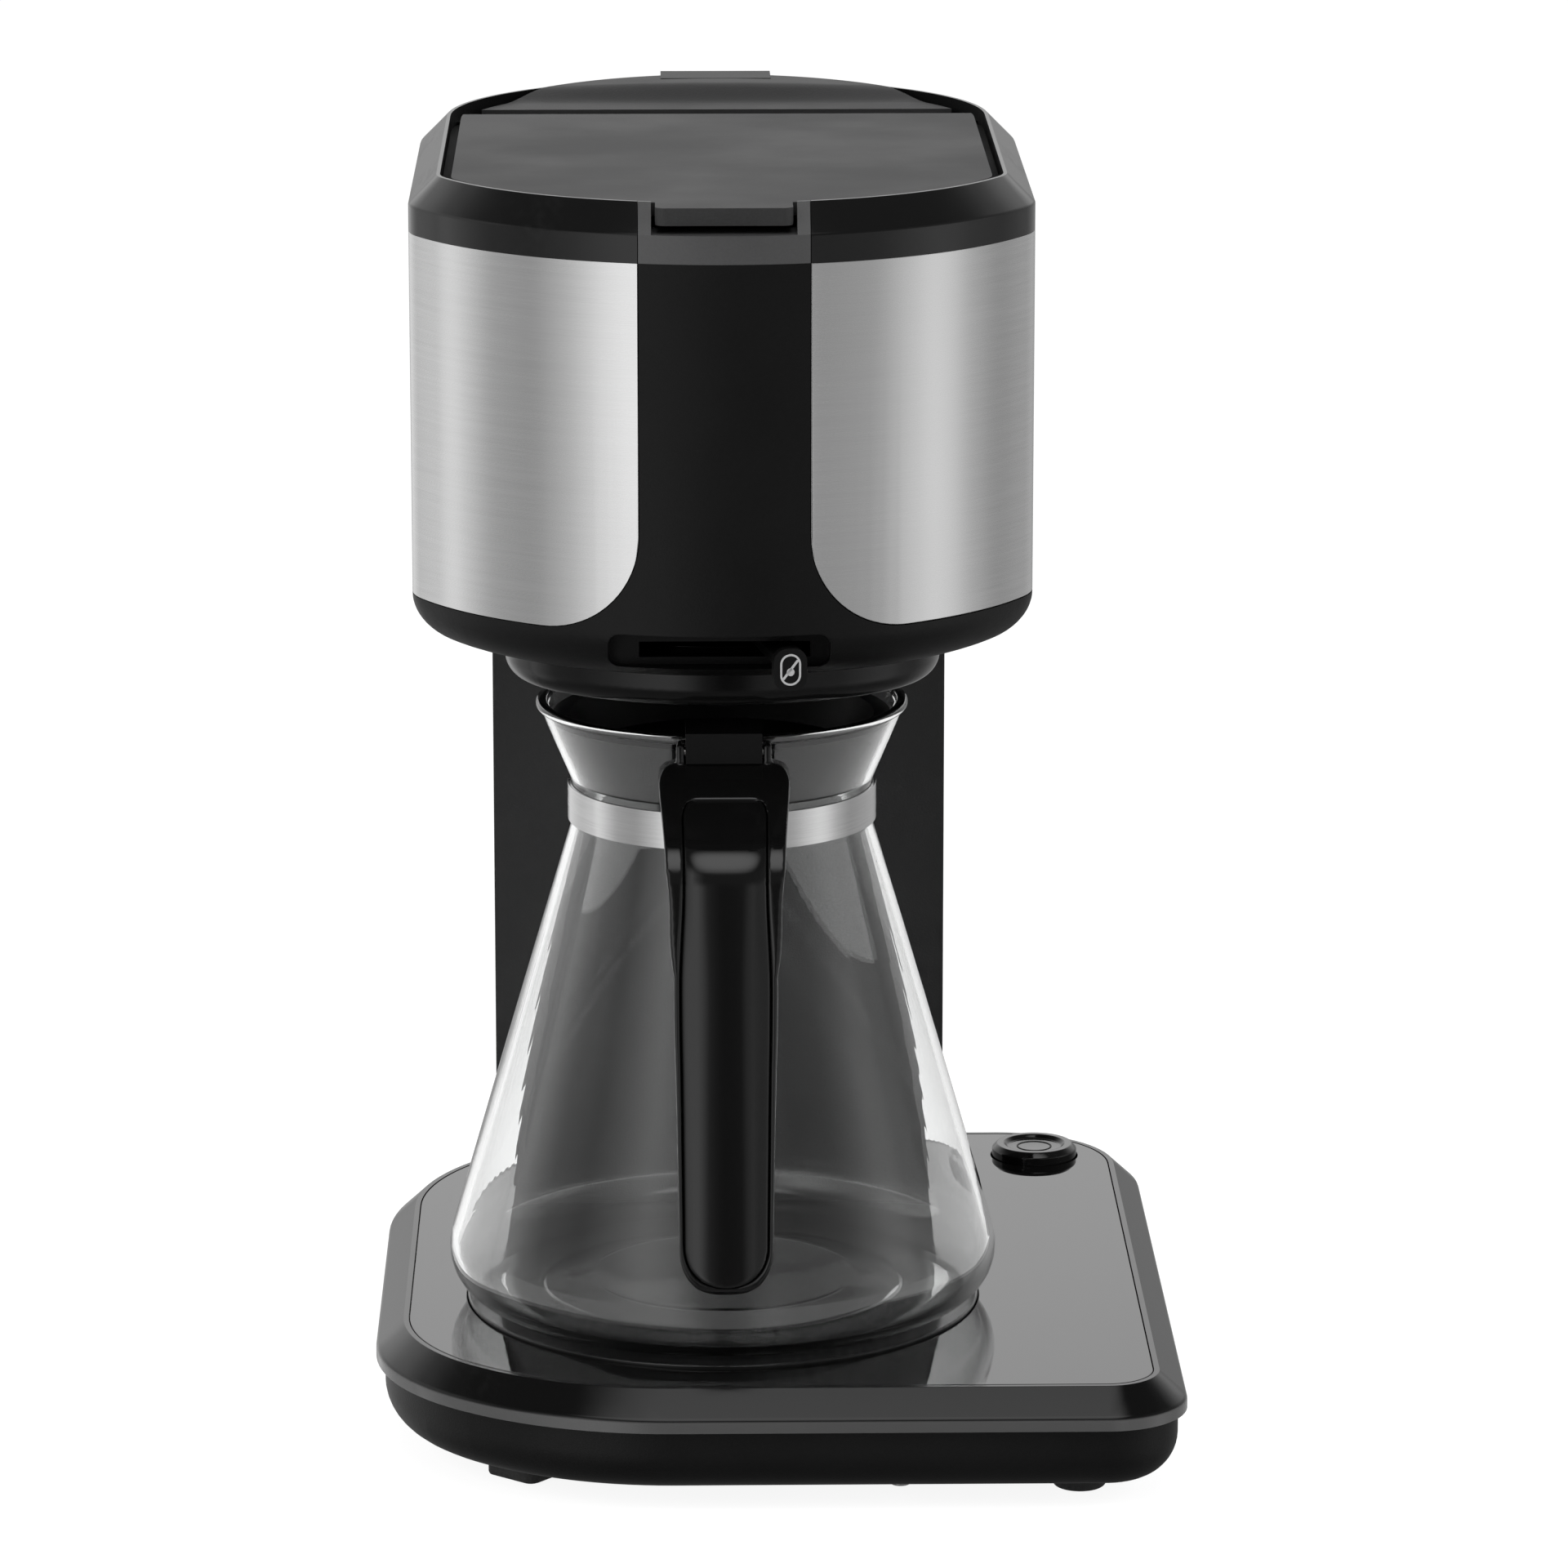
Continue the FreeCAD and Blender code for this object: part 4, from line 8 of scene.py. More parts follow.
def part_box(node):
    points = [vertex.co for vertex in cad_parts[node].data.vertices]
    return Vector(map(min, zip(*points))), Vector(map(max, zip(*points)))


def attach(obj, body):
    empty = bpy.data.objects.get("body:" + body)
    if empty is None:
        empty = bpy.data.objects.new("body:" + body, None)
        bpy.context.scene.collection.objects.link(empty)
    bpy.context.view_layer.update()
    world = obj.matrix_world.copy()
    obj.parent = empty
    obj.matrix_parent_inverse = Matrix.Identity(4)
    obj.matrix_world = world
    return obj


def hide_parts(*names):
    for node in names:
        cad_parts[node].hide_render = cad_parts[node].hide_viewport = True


# Looks of the drip coffee maker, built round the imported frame. Metres; X right, Y back, Z up.

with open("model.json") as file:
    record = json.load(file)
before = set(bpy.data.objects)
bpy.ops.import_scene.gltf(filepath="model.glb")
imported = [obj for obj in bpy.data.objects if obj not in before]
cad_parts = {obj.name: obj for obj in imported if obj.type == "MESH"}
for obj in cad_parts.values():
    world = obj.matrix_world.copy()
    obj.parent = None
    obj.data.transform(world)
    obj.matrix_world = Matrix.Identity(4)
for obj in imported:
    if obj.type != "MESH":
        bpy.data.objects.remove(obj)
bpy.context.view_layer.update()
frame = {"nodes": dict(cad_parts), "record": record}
nodes = frame["nodes"]
record = frame["record"]
bodies = record["behaviour"]["bodies"]
body_of_node = {node: body for body, members in bodies.items() for node in members}
slot_of_node = {row["node"]: row["material_slot"] for row in record["subparts"]}

BREW_AXIS = Vector((-0.014, -0.0355, 0))
BUTTON_AXIS = Vector((0.078, 0.0975, 0))
TANK_AXIS = Vector((-0.014, 0.0415, 0))
LEVER_ANGLE = math.radians(10.4)
# Heights of the edge between chamfer and upright band, on the base's bezel and on the head's ring
BEZEL_BAND_TOP, RING_BAND_TOP = 0.0272, 0.3391
# Distances under which points count as one: in finished pieces, in profiles and in CAD meshes
SAME_PLACE, SAME_CORNER, CAD_SEAM = 1e-6, 1e-7, 2e-6


def in_metres(corners):
    """Corners that are given in millimetres, with or without a rounding, in metres."""
    return [tuple(size / 1000 for size in corner) for corner in corners]


# Shader sockets in Python expressions


class Socket:
    """An output of a shader node that takes part in Python expressions."""

    def __init__(self, finish, output):
        self.finish = finish
        self.output = output

    def maths(self, operation, left, right):
        return self.finish.node("ShaderNodeMath", {"operation": operation}, {0: left, 1: right})

    def __add__(self, other):
        return self.maths("ADD", self, other)

    def __radd__(self, other):
        return self.maths("ADD", other, self)

    def __sub__(self, other):
        return self.maths("SUBTRACT", self, other)

    def __rsub__(self, other):
        return self.maths("SUBTRACT", other, self)

    def __mul__(self, other):
        return self.maths("MULTIPLY", self, other)

    def __truediv__(self, other):
        return self.maths("DIVIDE", self, other)


class Finish:
    """A node tree under construction, for one material or for the world."""

    def __init__(self, tree):
        self.tree = tree
        self.tree.nodes.clear()

    def node(self, kind, settings=None, sockets=None, output=0):
        """Add any node: its settings first, then values or links for its sockets."""
        node = self.tree.nodes.new(kind)
        for name, value in (settings or {}).items():
            if name == "stops":
                self.set_stops(node.color_ramp, value)
            else:
                setattr(node, name, value)
        for name, value in (sockets or {}).items():
            if isinstance(value, Socket):
                self.tree.links.new(value.output, node.inputs[name])
            else:
                node.inputs[name].default_value = value
        return Socket(self, node.outputs[output]) if node.outputs else node

    @staticmethod
    def set_stops(ramp, stops):
        """Fill a colour ramp from a list of places and colours."""
        while len(ramp.elements) < len(stops):
            ramp.elements.new(0.5)
        for element, (place, colour) in zip(ramp.elements, stops):
            element.position = place
            element.color = colour

    def place(self, stretch=(1, 1, 1)):
        """Object coordinates, stretched for a pattern with a direction."""
        coordinates = self.node("ShaderNodeTexCoord", output="Object")
        return self.node("ShaderNodeMapping", sockets={"Vector": coordinates, "Scale": stretch})

    def noise(self, scale, detail, stretch=(1, 1, 1), rough=0.5):
        """Soft noise, with its scale in repeats a metre."""
        return self.node("ShaderNodeTexNoise", sockets={
            "Vector": self.place(stretch), "Scale": scale, "Detail": detail, "Roughness": rough})

    def steps(self, value, low, high, start=0.0, end=1.0):
        """Remap a value softly from one range to another."""
        sockets = {"Value": value, "From Min": low, "From Max": high, "To Min": start, "To Max": end}
        return self.node("ShaderNodeMapRange", {"interpolation_type": "SMOOTHSTEP"}, sockets)

    def mix(self, factor, first, second):
        """Mix two colours; the mix node's colour sockets share their names, so they go by number."""
        sockets = {0: factor, 6: first, 7: second}
        return self.node("ShaderNodeMix", {"data_type": "RGBA"}, sockets, output=2)

    def bump(self, height, depth, strength=1.0):
        """A normal that follows a pattern, with the pattern's depth in metres."""
        sockets = {"Height": height, "Distance": depth, "Strength": strength}
        return self.node("ShaderNodeBump", sockets=sockets)


finishes = {}


def finish_named(name, build):
    """Make a material once: the function given fills in a Principled shader's sockets."""
    material = bpy.data.materials.new(name)
    material.use_nodes = True
    finish = Finish(material.node_tree)
    shader = finish.node("ShaderNodeBsdfPrincipled", sockets=build(finish))
    finish.node("ShaderNodeOutputMaterial", sockets={"Surface": shader})
    finishes[name] = material


def grey(level, tint=(1, 1, 1)):
    """An opaque grey, or a tint of it."""
    return (*(level * part for part in tint), 1)


# Finishes

# The range that most of a noise pattern lies in
NOISE_RANGE = (0.3, 0.7)
# Painted reflection on the upright band of the base's bezel: the paler grey that stands in for the
# pale floor it would mirror, and the height over which it begins
BAND_REFLECTION_GREY, BAND_REFLECTION_FADE = 0.065, 0.0006


def moulded(dark, light, rough, grain_depth, shine=0.5):
    """Moulded plastic: a fine spark-eroded grain, with a slow drift in tone and gloss."""
    def build(finish):
        grain = finish.noise(scale=1900, detail=3)
        drift = finish.noise(scale=22, detail=3)
        tone = finish.steps(grain * 0.35 + drift * 0.65, *NOISE_RANGE)
        return {
            "Base Color": finish.mix(tone, grey(dark), grey(light, (1, 1, 1.02))),
            "Roughness": rough + finish.steps(drift, *NOISE_RANGE, -0.05, 0.05),
            "Normal": finish.bump(grain, depth=grain_depth),
            "Specular IOR Level": shine,
        }
    return build


def polished(level, rough, shine=0.5):
    """Polished plastic: dark, with faint rubbing marks in tone and gloss."""
    def build(finish):
        smear = finish.noise(scale=30, detail=4, stretch=(1, 1, 0.4))
        rub = finish.noise(scale=420, detail=2, stretch=(1, 0.15, 1))
        marks = finish.steps(smear, 0.45, 0.75) * finish.steps(rub, 0.4, 0.7)
        ripple = finish.noise(scale=14, detail=1)
        return {
            "Base Color": finish.mix(marks, grey(level), grey(level * 1.6)),
            "Roughness": rough + marks * 0.08,
            "Normal": finish.bump(ripple, depth=0.00008, strength=0.5),
            "Specular IOR Level": shine,
        }
    return build


def collar_gloss_painted_band(finish):
    """The base's bezel: polished, with a painted reflection on the upright band below the chamfer, a
    paler grey that stands in for the pale floor it mirrors.
    """
    sockets = polished(level=0.003, rough=0.1, shine=0.3)(finish)
    height = finish.node("ShaderNodeSeparateXYZ", sockets={"Vector": finish.place()}, output="Z")
    # Below the chamfer's edge the base colour becomes a painted reflection of the floor, not the
    # plastic's own grey
    above = finish.steps(height, BEZEL_BAND_TOP - BAND_REFLECTION_FADE, BEZEL_BAND_TOP)
    sockets["Base Color"] = finish.mix(above, grey(BAND_REFLECTION_GREY), sockets["Base Color"])
    return sockets


def brushed(level, rough, spread):
    """Steel brushed level all round: lines in two widths, with reflections drawn out upright."""
    def build(finish):
        fine = finish.noise(scale=1, detail=3, stretch=(70, 70, 4200), rough=0.6)
        broad = finish.noise(scale=1, detail=2, stretch=(14, 14, 800))
        lines = fine * 0.6 + broad * 0.4
        cloud = finish.noise(scale=9, detail=2)
        tone = finish.steps(lines, *NOISE_RANGE)
        line_gloss = finish.steps(lines, 0.25, 0.75, -0.03, 0.03)
        cloud_gloss = finish.steps(cloud, *NOISE_RANGE, -0.02, 0.02)
        return {
            "Base Color": finish.mix(tone, grey(level * 0.94), grey(level * 1.04)),
            "Metallic": 1.0,
            "Roughness": rough + line_gloss + cloud_gloss,
            "Normal": finish.bump(lines, depth=0.00001),
            "Anisotropic": spread,
            "Anisotropic Rotation": 0.25,
        }
    return build


def clear_glass(finish):
    """Blown glass: clear, with a slow waviness."""
    wave = finish.noise(scale=16, detail=1, stretch=(1, 1, 0.5))
    haze = finish.noise(scale=60, detail=3)
    return {
        "Base Color": grey(0.98, (0.995, 1, 0.998)),
        "Roughness": finish.steps(haze, 0.45, 0.8, 0.0, 0.015),
        "IOR": 1.5,
        "Transmission Weight": 1.0,
        "Normal": finish.bump(wave, depth=0.0003, strength=0.35),
    }


def soft_rubber(finish):
    """Dull black rubber with a little dust."""
    grain = finish.noise(scale=900, detail=4)
    dust = finish.steps(finish.noise(scale=40, detail=3), 0.45, 0.75)
    return {
        "Base Color": finish.mix(dust, grey(0.018), grey(0.035, (1, 0.98, 0.95))),
        "Roughness": 0.78 + finish.steps(grain, *NOISE_RANGE, -0.06, 0.06),
        "Normal": finish.bump(grain, depth=0.0001),
    }


def bare_metal(level, rough):
    """Plain metal with machining marks and a little tarnish."""
    def build(finish):
        turning = finish.noise(scale=600, detail=2)
        tarnish = finish.steps(finish.noise(scale=35, detail=3), 0.35, 0.7)
        return {
            "Base Color": finish.mix(tarnish, grey(level), grey(level * 0.85, (1, 0.98, 0.95))),
            "Metallic": 1.0,
            "Roughness": rough + finish.steps(turning, *NOISE_RANGE, -0.05, 0.05),
            "Normal": finish.bump(turning, depth=0.00003),
        }
    return build


def hose_rubber(finish):
    """Milky silicone with a slightly uneven surface."""
    unevenness = finish.noise(scale=300, detail=2)
    cloud = finish.noise(scale=30, detail=2)
    return {
        "Base Color": finish.mix(cloud, grey(0.62, (1, 0.99, 0.95)), grey(0.72, (1, 0.99, 0.96))),
        "Roughness": 0.42 + finish.steps(cloud, *NOISE_RANGE, -0.05, 0.05),
        "Normal": finish.bump(unevenness, depth=0.00004),
        "Subsurface Weight": 0.1,
    }


def smoked_tank(finish):
    """The water tank's smoke grey plastic, with slow flow marks."""
    flow = finish.noise(scale=18, detail=2, stretch=(1, 1, 0.3))
    return {
        "Base Color": finish.mix(flow, grey(0.16), grey(0.22, (0.98, 1, 1.02))),
        "Roughness": 0.22 + finish.steps(flow, *NOISE_RANGE, -0.04, 0.06),
        "Normal": finish.bump(flow, depth=0.0002, strength=0.4),
    }


def circuit_board(finish):
    """Green board with tracks."""
    tracks = finish.node("ShaderNodeTexBrick", {"offset": 0.5}, {
        "Vector": finish.place((160, 160, 160)),
        "Color1": grey(0.2, (0.2, 1, 0.45)),
        "Color2": grey(0.14, (0.2, 1, 0.5)),
        "Mortar": grey(0.3, (0.4, 1, 0.5)),
        "Mortar Size": 0.03,
    })
    cloud = finish.noise(scale=80, detail=2)
    return {
        "Base Color": tracks,
        "Roughness": 0.35 + cloud * 0.15,
        "Normal": finish.bump(cloud, depth=0.00005),
    }


finish_named("matte_black",
             moulded(dark=0.002, light=0.0035, rough=0.46, grain_depth=0.00005, shine=0.2))
finish_named("column_matte", moulded(dark=0.011, light=0.016, rough=0.5, grain_depth=0.00005))
finish_named("collar_gloss_painted_band", collar_gloss_painted_band)
finish_named("ring_gloss", polished(level=0.004, rough=0.15, shine=0.35))
# Painted shade for the walls and ledge in the gap round the lids: darker and duller than the ring
finish_named("gap_painted_shade",
             moulded(dark=0.002, light=0.003, rough=0.7, grain_depth=0.00005, shine=0.1))
finish_named("dish_gloss", polished(level=0.003, rough=0.12, shine=0.25))
finish_named("gloss_black", polished(level=0.004, rough=0.09, shine=0.4))
finish_named("charcoal",
             moulded(dark=0.02, light=0.028, rough=0.55, grain_depth=0.00006, shine=0.25))
# The bridge's lighter grey is partly its own charcoal-like plastic and partly a painted sheen that
# it catches from in front
finish_named("bridge_satin_and_sheen", moulded(dark=0.04, light=0.052, rough=0.4, grain_depth=0.00003))
finish_named("deck_black", polished(level=0.002, rough=0.03))
finish_named("steel", brushed(level=0.65, rough=0.27, spread=0.85))
finish_named("band_steel", brushed(level=0.62, rough=0.25, spread=0.6))
finish_named("clear_glass", clear_glass)
finish_named("plate", polished(level=0.006, rough=0.12))
finish_named("heater", bare_metal(level=0.6, rough=0.4))
finish_named("pin_steel", bare_metal(level=0.58, rough=0.25))
finish_named("rubber", soft_rubber)
finish_named("silicone", hose_rubber)
finish_named("board", circuit_board)
finish_named("tank", smoked_tank)
finish_named("inner_plastic", moulded(dark=0.02, light=0.026, rough=0.38, grain_depth=0.00004))
finish_named("pale_mark", moulded(dark=0.34, light=0.4, rough=0.45, grain_depth=0.00002))


def paint(piece, name):
    """Give a piece one finish and no other."""
    piece.data.materials.clear()
    piece.data.materials.append(finishes[name])


# CAD nodes that look different from the rest of their material slot
OWN_FINISH = {
    "carafe_band": "band_steel", "front_bridge": "bridge_satin_and_sheen", "base_collar": "collar_gloss_painted_band",
    "top_collar": "ring_gloss", "outlet_dish": "dish_gloss", "tower_front": "column_matte",
    "tower_back": "column_matte",
}


def finish_of_node(node):
    """The name of a CAD node's finish: its own, or that of its slot."""
    return OWN_FINISH.get(node, slot_of_node[node])


for name, node in nodes.items():
    paint(node, finish_of_node(name))


# Modelling

# Faces across each rounded corner of a turned profile
PROFILE_SEGMENTS = 8


def clear_selection():
    """Leave edit mode and select nothing."""
    if bpy.context.object and bpy.context.object.mode != "OBJECT":
        bpy.ops.object.mode_set(mode="OBJECT")
    bpy.ops.object.select_all(action="DESELECT")


def only(piece):
    """Select one object and nothing else."""
    clear_selection()
    piece.select_set(True)
    bpy.context.view_layer.objects.active = piece


def edit(piece):
    """Open a piece in edit mode with all of it selected."""
    only(piece)
    bpy.ops.object.mode_set(mode="EDIT")
    bpy.ops.mesh.select_mode(type="VERT")
    bpy.ops.mesh.select_all(action="SELECT")


def done():
    """Leave edit mode."""
    bpy.ops.object.mode_set(mode="OBJECT")


def pick(piece, test):
    """In edit mode, select the vertices that pass a test and nothing else."""
    bpy.ops.mesh.select_all(action="DESELECT")
    bpy.ops.object.mode_set(mode="OBJECT")
    for point in piece.data.vertices:
        point.select = test(point)
    bpy.ops.object.mode_set(mode="EDIT")


def close_up():
    """In edit mode, merge what lies together and point all faces outwards."""
    bpy.ops.mesh.select_all(action="SELECT")
    bpy.ops.mesh.remove_doubles(threshold=SAME_PLACE)
    bpy.ops.mesh.normals_make_consistent(inside=False)


def apply_modifier(piece, name, kind, **settings):
    """Add a modifier to a piece and apply it at once."""
    only(piece)
    modifier = piece.modifiers.new(name, kind)
    for setting, value in settings.items():
        setattr(modifier, setting, value)
    bpy.ops.object.modifier_apply(modifier=name)


def smooth(piece, angle):
    """Shade a piece smooth across all edges below an angle in degrees."""
    only(piece)
    bpy.ops.object.shade_smooth_by_angle(angle=math.radians(angle))


def bake_place(piece):
    """Put a piece's place, turn and scale into its mesh."""
    only(piece)
    bpy.ops.object.transform_apply(location=True, rotation=True, scale=True)


def settle(piece, body, slot, *stands_for, finish=None):
    """Give a finished piece its body, its finish and the CAD nodes that it stands for."""
    paint(piece, finish or slot)
    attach(piece, body)
    if stands_for:
        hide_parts(*stands_for)


def start_plane(name, width, depth, place):
    """A flat rectangle to model from, level, with its size and place in the mesh."""
    clear_selection()
    bpy.ops.mesh.primitive_plane_add(size=1, location=place)
    piece = bpy.context.object
    piece.name = name
    piece.scale = (width, depth, 1)
    bake_place(piece)
    return piece


def start_block(name, size, place):
    """A block to model from, with its size and place in the mesh."""
    clear_selection()
    bpy.ops.mesh.primitive_cube_add(size=1, location=place)
    piece = bpy.context.object
    piece.name = name
    piece.scale = size
    bake_place(piece)
    return piece


def turned(name, corners, centre, steps, angle=math.tau):
    """Draw a profile of (radius, height, rounding) corners, point by point, and spin it.

    The profile starts as a small plane that is merged into its first point.
    """
    places = [centre + Vector((radius, 0, height)) for radius, height, *_ in corners]
    piece = start_plane(name, 0.001, 0.001, places[0])
    edit(piece)
    bpy.ops.mesh.merge(type="CENTER")
    for here, there in zip(places, places[1:]):
        bpy.ops.mesh.extrude_region_move(TRANSFORM_OT_translate={"value": there - here})
    bpy.ops.mesh.select_all(action="SELECT")
    bpy.ops.mesh.remove_doubles(threshold=SAME_CORNER)
    befores, afters = places[-1:] + places, places[1:] + places[:1]
    for before, here, after, corner in zip(befores, places, afters, corners):
        if len(corner) == 3:
            reach = corner[2] / math.tan((before - here).angle(after - here) / 2)
            pick(piece, lambda point: (point.co - here).length < SAME_CORNER)
            bpy.ops.mesh.bevel(offset=reach, affect="VERTICES", segments=PROFILE_SEGMENTS)
    bpy.ops.mesh.select_all(action="SELECT")
    bpy.ops.mesh.spin(steps=steps, angle=angle, center=centre, axis=(0, 0, 1))
    close_up()
    done()
    return piece


def copies(piece, count, centre):
    """Repeat a piece all round an upright axis and join the repeats."""
    turn = math.tau / count
    inwards, outwards = Matrix.Translation(-centre), Matrix.Translation(centre)
    clones = [piece]
    for step in range(1, count):
        clone = bpy.data.objects.new(f"{piece.name}_{step}", piece.data.copy())
        bpy.context.scene.collection.objects.link(clone)
        clone.data.transform(outwards @ Matrix.Rotation(turn * step, 4, "Z") @ inwards)
        clones.append(clone)
    return joined(clones)


def joined(pieces):
    """Join pieces into the first of them."""
    only(pieces[0])
    for piece in pieces:
        piece.select_set(True)
    bpy.ops.object.join()
    return pieces[0]


# CAD pieces with small rounded edges

# Angles in degrees: faces that count as one, edges that are rounded, and shading
FLAT_ANGLE, EDGE_ANGLE, SHADE_ANGLE = 0.3, 35, 40


def merged_copy(node, name):
    """A copy of a CAD node's mesh without its seams and needless edges."""
    piece = bpy.data.objects.new(name, nodes[node].data.copy())
    bpy.context.scene.collection.objects.link(piece)
    only(piece)
    bpy.ops.mesh.customdata_custom_splitnormals_clear()
    edit(piece)
    bpy.ops.mesh.remove_doubles(threshold=CAD_SEAM)
    bpy.ops.mesh.dissolve_limited(angle_limit=math.radians(FLAT_ANGLE))
    done()
    return piece


# The flat strip along the tank lid's hinge: its height, where it ends, where the dome is full again,
# the cuts across the slope between them, and the height below which the lid stays as it is
STRIP_HEIGHT, STRIP_END, DOME_START = 0.3443, 0.08, 0.094
STRIP_CUTS = 12
STRIP_LEAST = 0.3436
# Digits of the places of the strip's lines of vertices, and how near a vertex is to its line
LINE_DIGITS, LINE_REACH = 5, 0.0000051
# Edges between chamfer and band that are rounder than the rest: height and rounding
CHAMFER_EDGES = {"base_collar": (BEZEL_BAND_TOP, 0.001), "top_collar": (RING_BAND_TOP, 0.0005)}
CHAMFER_REACH, CHAMFER_SEGMENTS = 0.00002, 4
# Inside of the ring, where painted shade stands for the shade in the gap round the lids: its middle
# from front to back, the height that its ledge lies below, and the limits that tell its level faces
# and the walls that look towards the middle
RING_MIDDLE_Y, LEDGE_TOP, LEVEL_FACE, WALL_FACING = 0.01, 0.3424, 0.9, -0.01


def flatten_strip(piece):
    """Press the dome of the tank lid flat along the hinge, with a soft slope up to the rest."""
    slope = DOME_START - STRIP_END
    edit(piece)
    for step in range(STRIP_CUTS + 1):
        cut = STRIP_END + slope * step / STRIP_CUTS
        bpy.ops.mesh.select_all(action="SELECT")
        bpy.ops.mesh.bisect(plane_co=(0, cut, 0), plane_no=(0, 1, 0))
    done()
    front = [point.co.y for point in piece.data.vertices
             if point.co.z > STRIP_LEAST and point.co.y < DOME_START]
    lines = {round(place, LINE_DIGITS) for place in front}

    def on_line(point):
        return abs(point.co.y - line) < LINE_REACH and point.co.z > STRIP_LEAST

    edit(piece)
    for line in sorted(lines):
        part = max(0, (line - STRIP_END) / slope)
        rise = part * part * (3 - 2 * part)
        pick(piece, on_line)
        bpy.ops.transform.resize(value=(1, 1, rise), center_override=(0, 0, STRIP_HEIGHT))
    done()


def round_chamfer(piece, height, rounding):
    """Round the level edge that a chamfer ends on."""
    edit(piece)
    pick(piece, lambda point: abs(point.co.z - height) < CHAMFER_REACH)
    bpy.ops.mesh.bevel(
        offset=rounding, segments=CHAMFER_SEGMENTS, affect="EDGES", clamp_overlap=False)
    done()


def paint_gap_shade(piece):
    """Give the walls and the ledge inside the ring, round the lids, painted shade: a darker, duller
    finish that stands in for the shade in the gap.
    """
    piece.data.materials.append(finishes["gap_painted_shade"])
    for face in piece.data.polygons:
        across, along = face.center.x - BREW_AXIS.x, face.center.y - RING_MIDDLE_Y
        outward = face.normal.x * across + face.normal.y * along
        ledge = face.normal.z > LEVEL_FACE and face.center.z < LEDGE_TOP
        if outward < WALL_FACING or ledge:
            face.material_index = 1


def dress(node, edge):
    """Put a copy of a CAD node with rounded edges in the node's place."""
    piece = merged_copy(node, f"{node}_shaped")
    if node == "tank_lid":
        flatten_strip(piece)
    if node in CHAMFER_EDGES:
        round_chamfer(piece, *CHAMFER_EDGES[node])
    apply_modifier(
        piece, "edges", "BEVEL", width=edge, segments=2, limit_method="ANGLE",
        angle_limit=math.radians(EDGE_ANGLE), use_clamp_overlap=True, miter_outer="MITER_ARC")
    smooth(piece, SHADE_ANGLE)
    apply_modifier(piece, "flat_faces", "WEIGHTED_NORMAL", keep_sharp=True)
    settle(piece, body_of_node[node], slot_of_node[node], node, finish=finish_of_node(node))
    # The ring's inner walls and ledge get painted shade
    if node == "top_collar":
        paint_gap_shade(piece)


# Width of each piece's edge rounding, which the bevel narrows where a mesh has short edges
EDGES = {
    "base_collar": 0.0012, "deck_glass": 0.0004, "top_collar": 0.0006, "front_bridge": 0.0006,
    "filter_lid": 0.0007, "tank_lid": 0.0007, "head_shell": 0.0005, "steel_panel_left": 0.0003,
    "steel_panel_right": 0.0003, "drip_lever": 0.0006, "power_button": 0.0003,
    "carafe_lid": 0.0005, "tower_front": 0.0006, "tower_back": 0.0006, "carafe_band": 0.0002,
    "outlet_dish": 0.0004, "hotplate": 0.0004, "base_tub": 0.0004, "front_left_foot": 0.0008,
    "filter_holder": 0.0005, "water_tank": 0.0005, "spray_head": 0.0004, "cord_gland": 0.0005,
    "brew_spout": 0.0004,
}
for node, edge in EDGES.items():
    dress(node, edge)


# Carafe

# Shading angle of blown and softly moulded pieces, in degrees
SOFT_ANGLE = 60


def make_blown_glass():
    """The carafe's wall in one smooth turn, with a rolled bead at the rim."""
    outside = [(0, 37.85), (35.5, 37.85, 7), (48.9, 35.35, 7), (78.8, 35.35, 14),
               (40.4, 167.85, 7), (40.4, 177.85, 7)]
    bead = [(48.7, 198.5, 1), (49.85, 198.7, 0.8), (49.85, 200.55, 0.9), (47, 200.55, 0.9),
            (46.5, 198.5, 1)]
    inside = [(38.2, 177.85, 7), (38.2, 167.85, 7), (75.87, 37.55, 11.8), (48.9, 37.55, 7),
              (35.5, 40.05, 7), (0, 40.05)]
    glass = turned("blown_glass", in_metres(outside + bead + inside), BREW_AXIS, steps=160)
    smooth(glass, SOFT_ANGLE)
    settle(glass, "carafe", "clear_glass", "carafe_glass")


# How far the handle's sides stand out from the CAD shape, evenly from its tip to its ears' top
HANDLE_SPREAD = (-0.0011, -0.0011, -0.0007, -0.0002, 0.0003, 0.001,
                 0.0017, 0.0013, -0.0014, -0.0025, -0.0012, 0)
# Height of the inlay's crown at points across the handle's width
INLAY_CROWN = (-0.00234, 0.00054, 0.0015, 0.00054, -0.00234)
NO_CROWN = (0, 0, 0, 0, 0)


def handle_cage(crown):
    """A lattice round the whole handle that shapes its sides and crowns its outer face."""
    low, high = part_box("carafe_handle")
    size = Vector(high) - Vector(low)
    data = bpy.data.lattices.new("handle_cage")
    columns, layers = len(crown), len(HANDLE_SPREAD)
    data.points_u, data.points_v, data.points_w = columns, 2, layers
    data.interpolation_type_u = data.interpolation_type_w = "KEY_CARDINAL"
    data.interpolation_type_v = "KEY_LINEAR"
    scale = Vector((size.x / (columns - 1), size.y, size.z / (layers - 1)))
    sides = {0: -1, columns - 1: 1}
    for number, point in enumerate(data.points):
        column = number % columns
        front = number // columns % 2 == 0
        spread = HANDLE_SPREAD[number // columns // 2] * sides.get(column, 0)
        lift = crown[column] if front else 0
        point.co_deform = point.co + Vector((spread / scale.x, -lift / scale.y, 0))
    cage = bpy.data.objects.new("handle_cage", data)
    bpy.context.scene.collection.objects.link(cage)
    cage.location = (Vector(low) + Vector(high)) / 2
    cage.scale = scale
    bpy.context.view_layer.update()
    return cage


